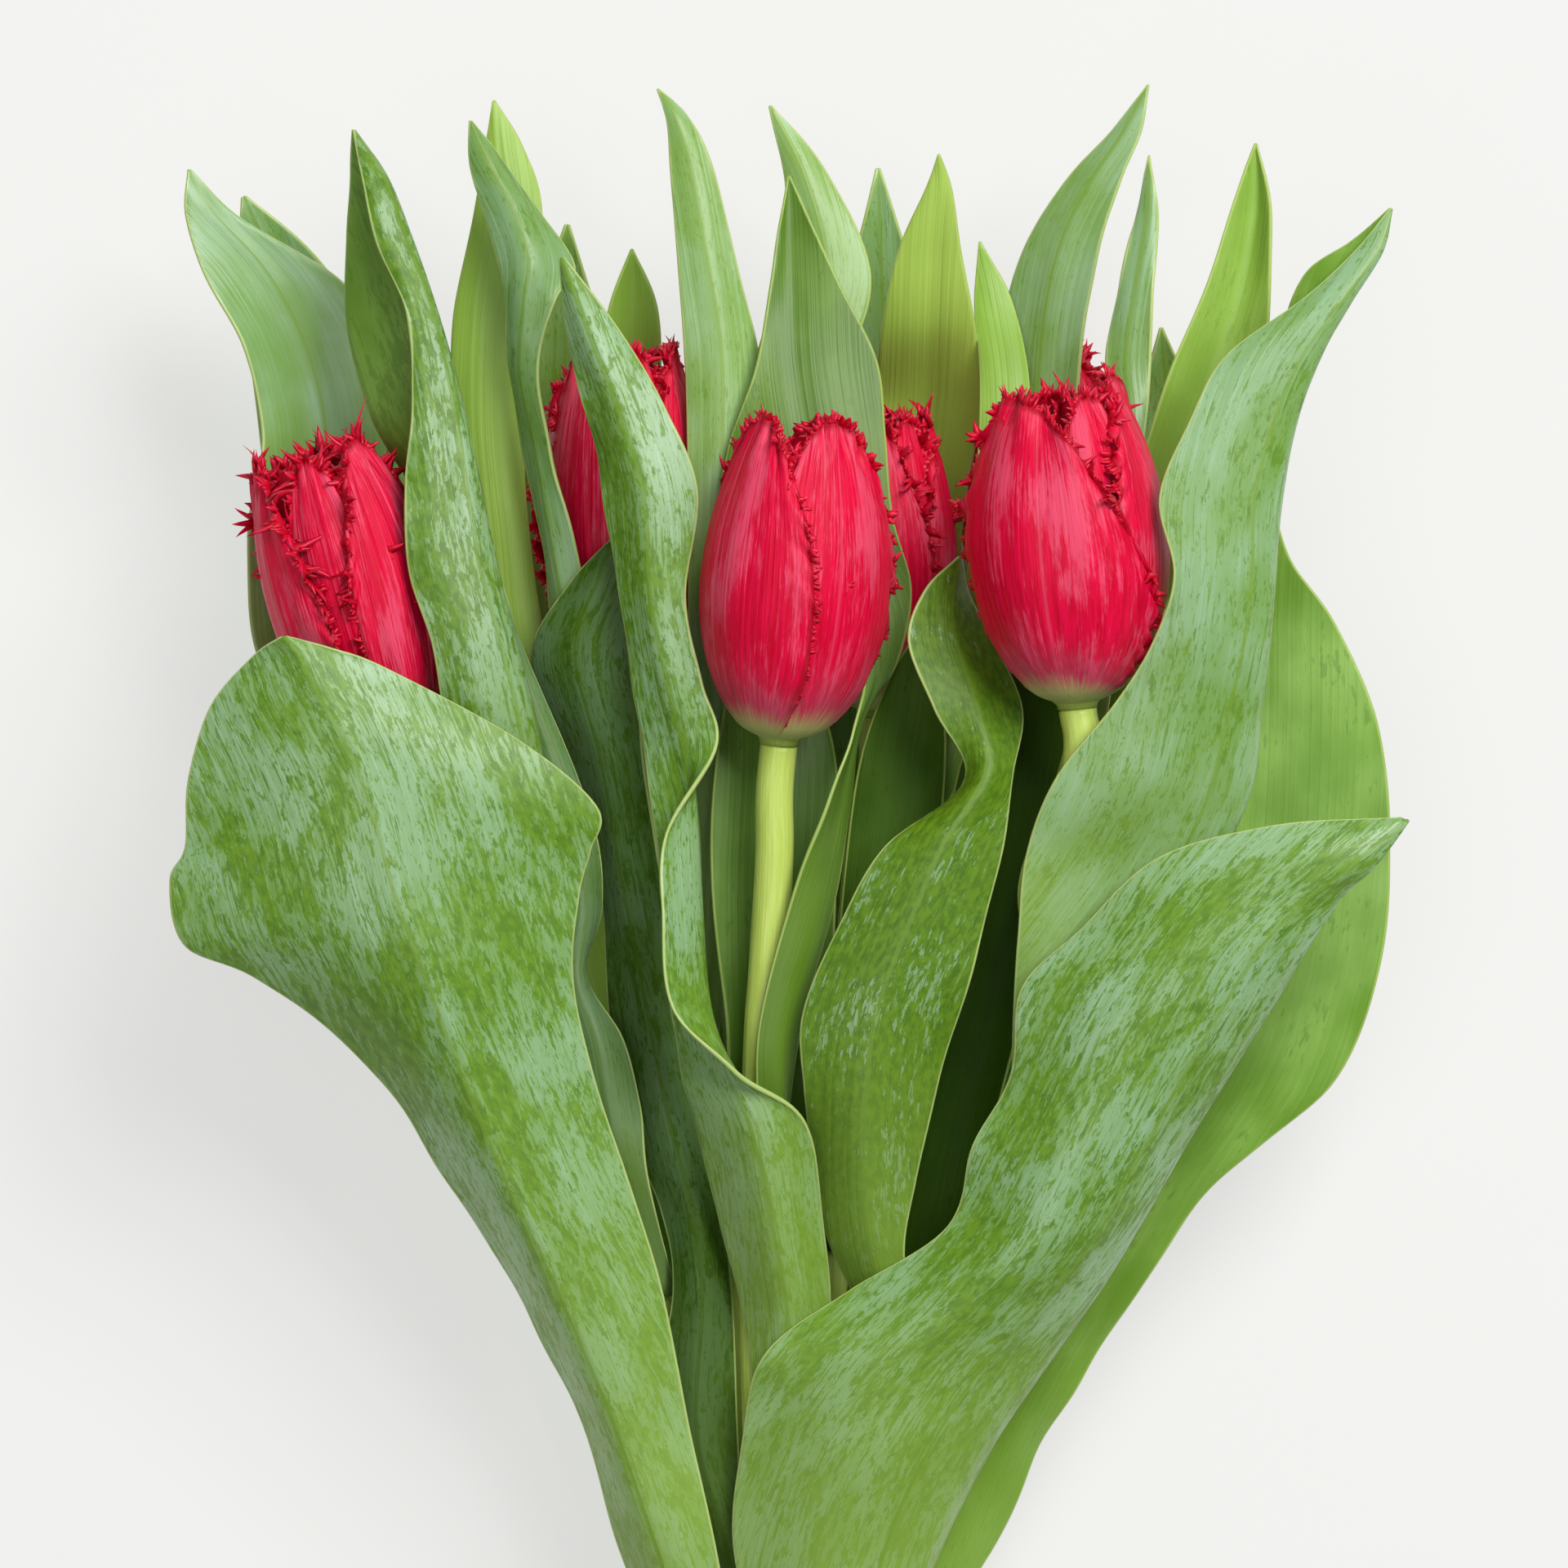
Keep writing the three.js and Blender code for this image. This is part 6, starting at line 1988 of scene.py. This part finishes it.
@dataclass(frozen=True)
class PlainPlant(Finish):
    """An even plant skin with fine lines and slow changes of colour, for stems, feet and pistils."""

    name: str
    light: Colour
    dark: Colour
    low: Colour
    rough: float = 0.36

    def wire(self, coating: Coating) -> None:
        """Mixes two colours by the streaks, and then the low colour and the lines.

        Args:
            coating: the material.
        """
        w, grain, rim = coating.wiring, coating.grain(), coating.rim(1.0)
        colour = w.mix(w.step(grain["Streaks"], 0.3, 0.72), self.dark, self.light)
        # Toward the foot the colour goes to the low one: on the stems a deep green that is painted shade, on
        # the other pieces their own colour.
        colour = w.tint(colour, rim["Foot"], 0.6, self.low)
        colour = w.tint(colour, w.step(grain["Veins"], 0.6, 0.4), 0.2, self.dark)
        rough = w.plus(self.rough, grain["Patches"], 0.1)
        coating.feed(Base_Color=colour, Roughness=rough, Specular_IOR_Level=0.45)
        coating.relief(grain["Veins"], 0.0004, 0.4)


@dataclass(frozen=True)
class PlainRubber(Finish):
    """Matt rubber with a faint stretch grain."""

    name: str = "band_rubber"
    light: Colour = paint(104, 138, 86)
    dark: Colour = paint(84, 118, 70)

    def wire(self, coating: Coating) -> None:
        """Mixes two greens by a noise that is stretched round the band.

        Args:
            coating: the material.
        """
        w = coating.wiring
        noise = w.noise(w.mark("grain"), (1.2, 0.15, 1.0), 4.0)
        colour = w.mix(w.step(noise, 0.3, 0.7), self.dark, self.light)
        coating.feed(Base_Color=colour, Roughness=w.plus(0.55, noise, 0.2), Specular_IOR_Level=0.35)
        coating.relief(noise, 0.0003, 0.4)


@dataclass(frozen=True)
class LitPaper(Finish):
    """The floor's paper, faintly lit, so that shadows stay light.

    The glow is a smooth step of the radius of an ellipse under the bunch, so that it stops there and leaves a
    painted shadow under the bunch.
    """

    name: str = "floor_lit_paper"
    base: Colour = paint(140, 140, 138)
    mottle: Colour = paint(137, 137, 135)
    glow: Colour = (1.0, 1.0, 0.985, 1.0)
    shade: Colour = (0.04, 0.05, 0.03, 1.0)
    centre: tuple = (0.005, 0.04)
    radii: tuple = (0.075, 0.1)
    strength: float = 0.62

    def wire(self, coating: Coating) -> None:
        """Mixes two greys by a soft noise, and lights them outside the ellipse, so that inside it is a painted
        shadow.

        Args:
            coating: the material.
        """
        w = coating.wiring
        place = w.node("ShaderNodeTexCoord").outputs["Object"]
        moved = w.node("ShaderNodeVectorMath", operation="MULTIPLY_ADD")
        w.feed(moved.inputs[0], place)
        scale = [1 / radius for radius in self.radii]
        moved.inputs[1].default_value = (scale[0], scale[1], 0.0)
        moved.inputs[2].default_value = (-self.centre[0] * scale[0], -self.centre[1] * scale[1], 0.0)
        radius = w.node("ShaderNodeVectorMath", operation="LENGTH")
        w.feed(radius.inputs[0], moved.outputs[0])
        glow = w.mix(w.step(radius.outputs["Value"], 0.75, 1.0), self.shade, self.glow)
        paper = w.mix(w.noise(place, (3.0, 3.0, 3.0)), self.base, self.mottle)
        coating.feed(Base_Color=paper, Emission_Color=glow, Emission_Strength=self.strength)
        coating.feed(Roughness=0.9, Specular_IOR_Level=0.1)


# ---- the studio


@dataclass(frozen=True)
class Lamp:
    """One square soft light: where it hangs, its side in metres, its power in watts and what it points at."""

    name: str
    place: tuple
    side: float
    power: float
    aim: tuple = (0.0, 0.02, 0.03)

    def build(self) -> None:
        """Makes the light and turns it to its aim."""
        data = bpy.data.lights.new(self.name, "AREA")
        data.shape = "SQUARE"
        data.size = self.side
        data.energy = self.power
        made = bpy.data.objects.new(self.name, data)
        made.location = self.place
        made.rotation_euler = (Vector(self.aim) - Vector(self.place)).to_track_quat("-Z", "Y").to_euler()
        bpy.context.scene.collection.objects.link(made)


@dataclass
class Studio:
    """A plain pale floor, soft lights and a long lens square to the bunch's own front.

    The camera's distance and its sensor's width are in millimetres, what it sees up to and the floor's
    measures in metres, and the sky is the strength of an even light from all round.
    """

    groups: Groups
    distance: float = 3000.0
    far: float = 50.0
    sensor: float = 36.0
    floor_side: float = 16.0
    floor_drop: float = 0.0001
    sky: float = 0.14
    lamps: tuple = (
        Lamp("key_light", (0.9, 1.05, 2.1), 1.4, 60.0),
        Lamp("fill_light", (-0.5, -0.4, 2.4), 1.4, 13.0),
    )

    def build(self) -> None:
        """Makes the camera, the lights, the sky and the floor."""
        self.camera()
        for lamp in self.lamps:
            lamp.build()
        self.surroundings()
        self.floor()
        bpy.context.scene.view_settings.view_transform = "Standard"

    def camera(self) -> None:
        """Sets the camera over the bunch, square to its u and v, with the view span across its picture."""
        data = bpy.data.cameras.new("camera")
        data.sensor_width = self.sensor
        data.lens = self.sensor * self.distance / VIEW_SPAN
        data.clip_end = self.far
        made = bpy.data.objects.new("camera", data)
        place = to_part(np.array([*VIEW_CENTRE, self.distance]))
        cos, sin = math.cos(TIP_ANGLE), math.sin(TIP_ANGLE)
        made.matrix_world = Matrix((
            (1, 0, 0, place[0]),
            (0, cos, -sin, place[1]),
            (0, sin, cos, place[2]),
            (0, 0, 0, 1),
        ))
        bpy.context.scene.collection.objects.link(made)
        bpy.context.scene.camera = made

    def surroundings(self) -> None:
        """Lights the scene evenly from all round."""
        world = bpy.data.worlds.new("studio")
        world.use_nodes = True
        back = world.node_tree.nodes["Background"]
        back.inputs["Color"].default_value = (1.0, 1.0, 1.0, 1.0)
        back.inputs["Strength"].default_value = self.sky
        bpy.context.scene.world = world

    def floor(self) -> None:
        """Lays a plain square floor just under the bunch."""
        half, low = self.floor_side / 2, -self.floor_drop
        mesh = bpy.data.meshes.new("floor")
        corners = [(-half, -half, low), (half, -half, low), (half, half, low), (-half, half, low)]
        mesh.from_pydata(corners, [], [(0, 1, 2, 3)])
        made = bpy.data.objects.new("floor", mesh)
        mesh.materials.append(LitPaper().build(self.groups))
        bpy.context.scene.collection.objects.link(made)
        made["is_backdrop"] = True


# ---- the bunch


@dataclass
class Bunch:
    """The whole bunch: seven tulips with their leaves, and the tie.

    A leaf whose tone mark is at or under the shade tone, a leaf painted in deep shade, gets the dull shaded
    copies of the leaf finishes.
    """

    groups: Groups
    shade_tone: float = -0.8
    dull: float = 0.08

    def finishes(self) -> dict[str, Material]:
        """Builds every finish.

        Returns:
            The materials by their plain names.
        """
        # The stems' low colour, a deep green toward the cut end, is painted shade for their lower parts inside
        # the bunch.
        stem = PlainPlant("stem_skin", paint(204, 224, 116), paint(188, 210, 90), paint(104, 136, 30))
        pistil = PlainPlant("pistil_skin", paint(190, 204, 128), paint(160, 178, 96), paint(196, 206, 140))
        plans = {
            "outer": WaxyLeaf(),
            "inner": SmoothLeaf(),
            # Dull copies of the leaf finishes, for the leaves painted in deep shade.
            "outer_shaded": WaxyLeaf(name="leaf_outer_shaded", gloss=self.dull),
            "inner_shaded": SmoothLeaf(name="leaf_inner_shaded", gloss=self.dull, coat=0.0),
            "stem": stem,
            "petal": PetalFace(
                "petal_outer", paint(204, 0, 42), paint(238, 10, 70), paint(244, 100, 132), 0.6
            ),
            "petal_inside": PetalFace(
                "petal_inner", paint(170, 0, 26), paint(208, 4, 46), paint(220, 44, 80), 0.2
            ),
            "fringe": Fringe(),
            "foot": PlainPlant("bloom_foot", paint(186, 200, 112), paint(160, 180, 80), paint(150, 176, 70)),
            "pistil": pistil,
            "anther": PlainPlant("anther_dust", paint(74, 52, 30), paint(44, 30, 22), paint(60, 44, 28), 0.7),
            "rubber": PlainRubber(),
        }
        return {name: plan.build(self.groups) for name, plan in plans.items()}

    def settle(self, piece: Made, node: str) -> None:
        """Lets a piece stand for a node and ride on the bunch.

        Args:
            piece: the piece.
            node: the node that it stands for.
        """
        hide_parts(node)
        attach(piece, "root")
        log.info("%s stands for %s, %d faces", piece.name, node, len(piece.data.polygons))

    def build(self) -> None:
        """Builds every piece in order: stems, blooms, pistils, leaves and the tie."""
        made = self.finishes()
        for letter, plan in TULIPS.items():
            self.settle(Stem(letter, plan).build(made["stem"]), "stem_" + letter)
            bloom = Bloom(letter, plan).build([made[k] for k in ("petal", "petal_inside", "fringe", "foot")])
            self.settle(bloom, "bloom_" + letter)
            pistil = Pistil(letter, plan).build([made["pistil"], made["anther"]])
            self.settle(pistil, "pistil_and_stamens_" + letter)
        for seed, (name, plan) in enumerate(LEAVES.items()):
            # A leaf painted in deep shade takes the dull shaded copies.
            depth = "_shaded" if plan.tone <= self.shade_tone else ""
            leaf = Leaf(name, plan, seed + 1).build(made["outer" + depth], made["inner" + depth])
            self.settle(leaf, name)
        self.settle(Tie().build(made["rubber"]), "tie")


def corners() -> list[list[float]]:
    """The lowest and highest corner of what is shown, as plain lists."""
    return [list(corner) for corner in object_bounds()]


def main() -> None:
    """Loads the frame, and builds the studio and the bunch."""
    logging.basicConfig(level=logging.INFO, format="%(name)s: %(message)s")
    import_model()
    groups = Groups()
    Studio(groups).build()
    Bunch(groups).build()


if __name__ == "__main__":
    main()
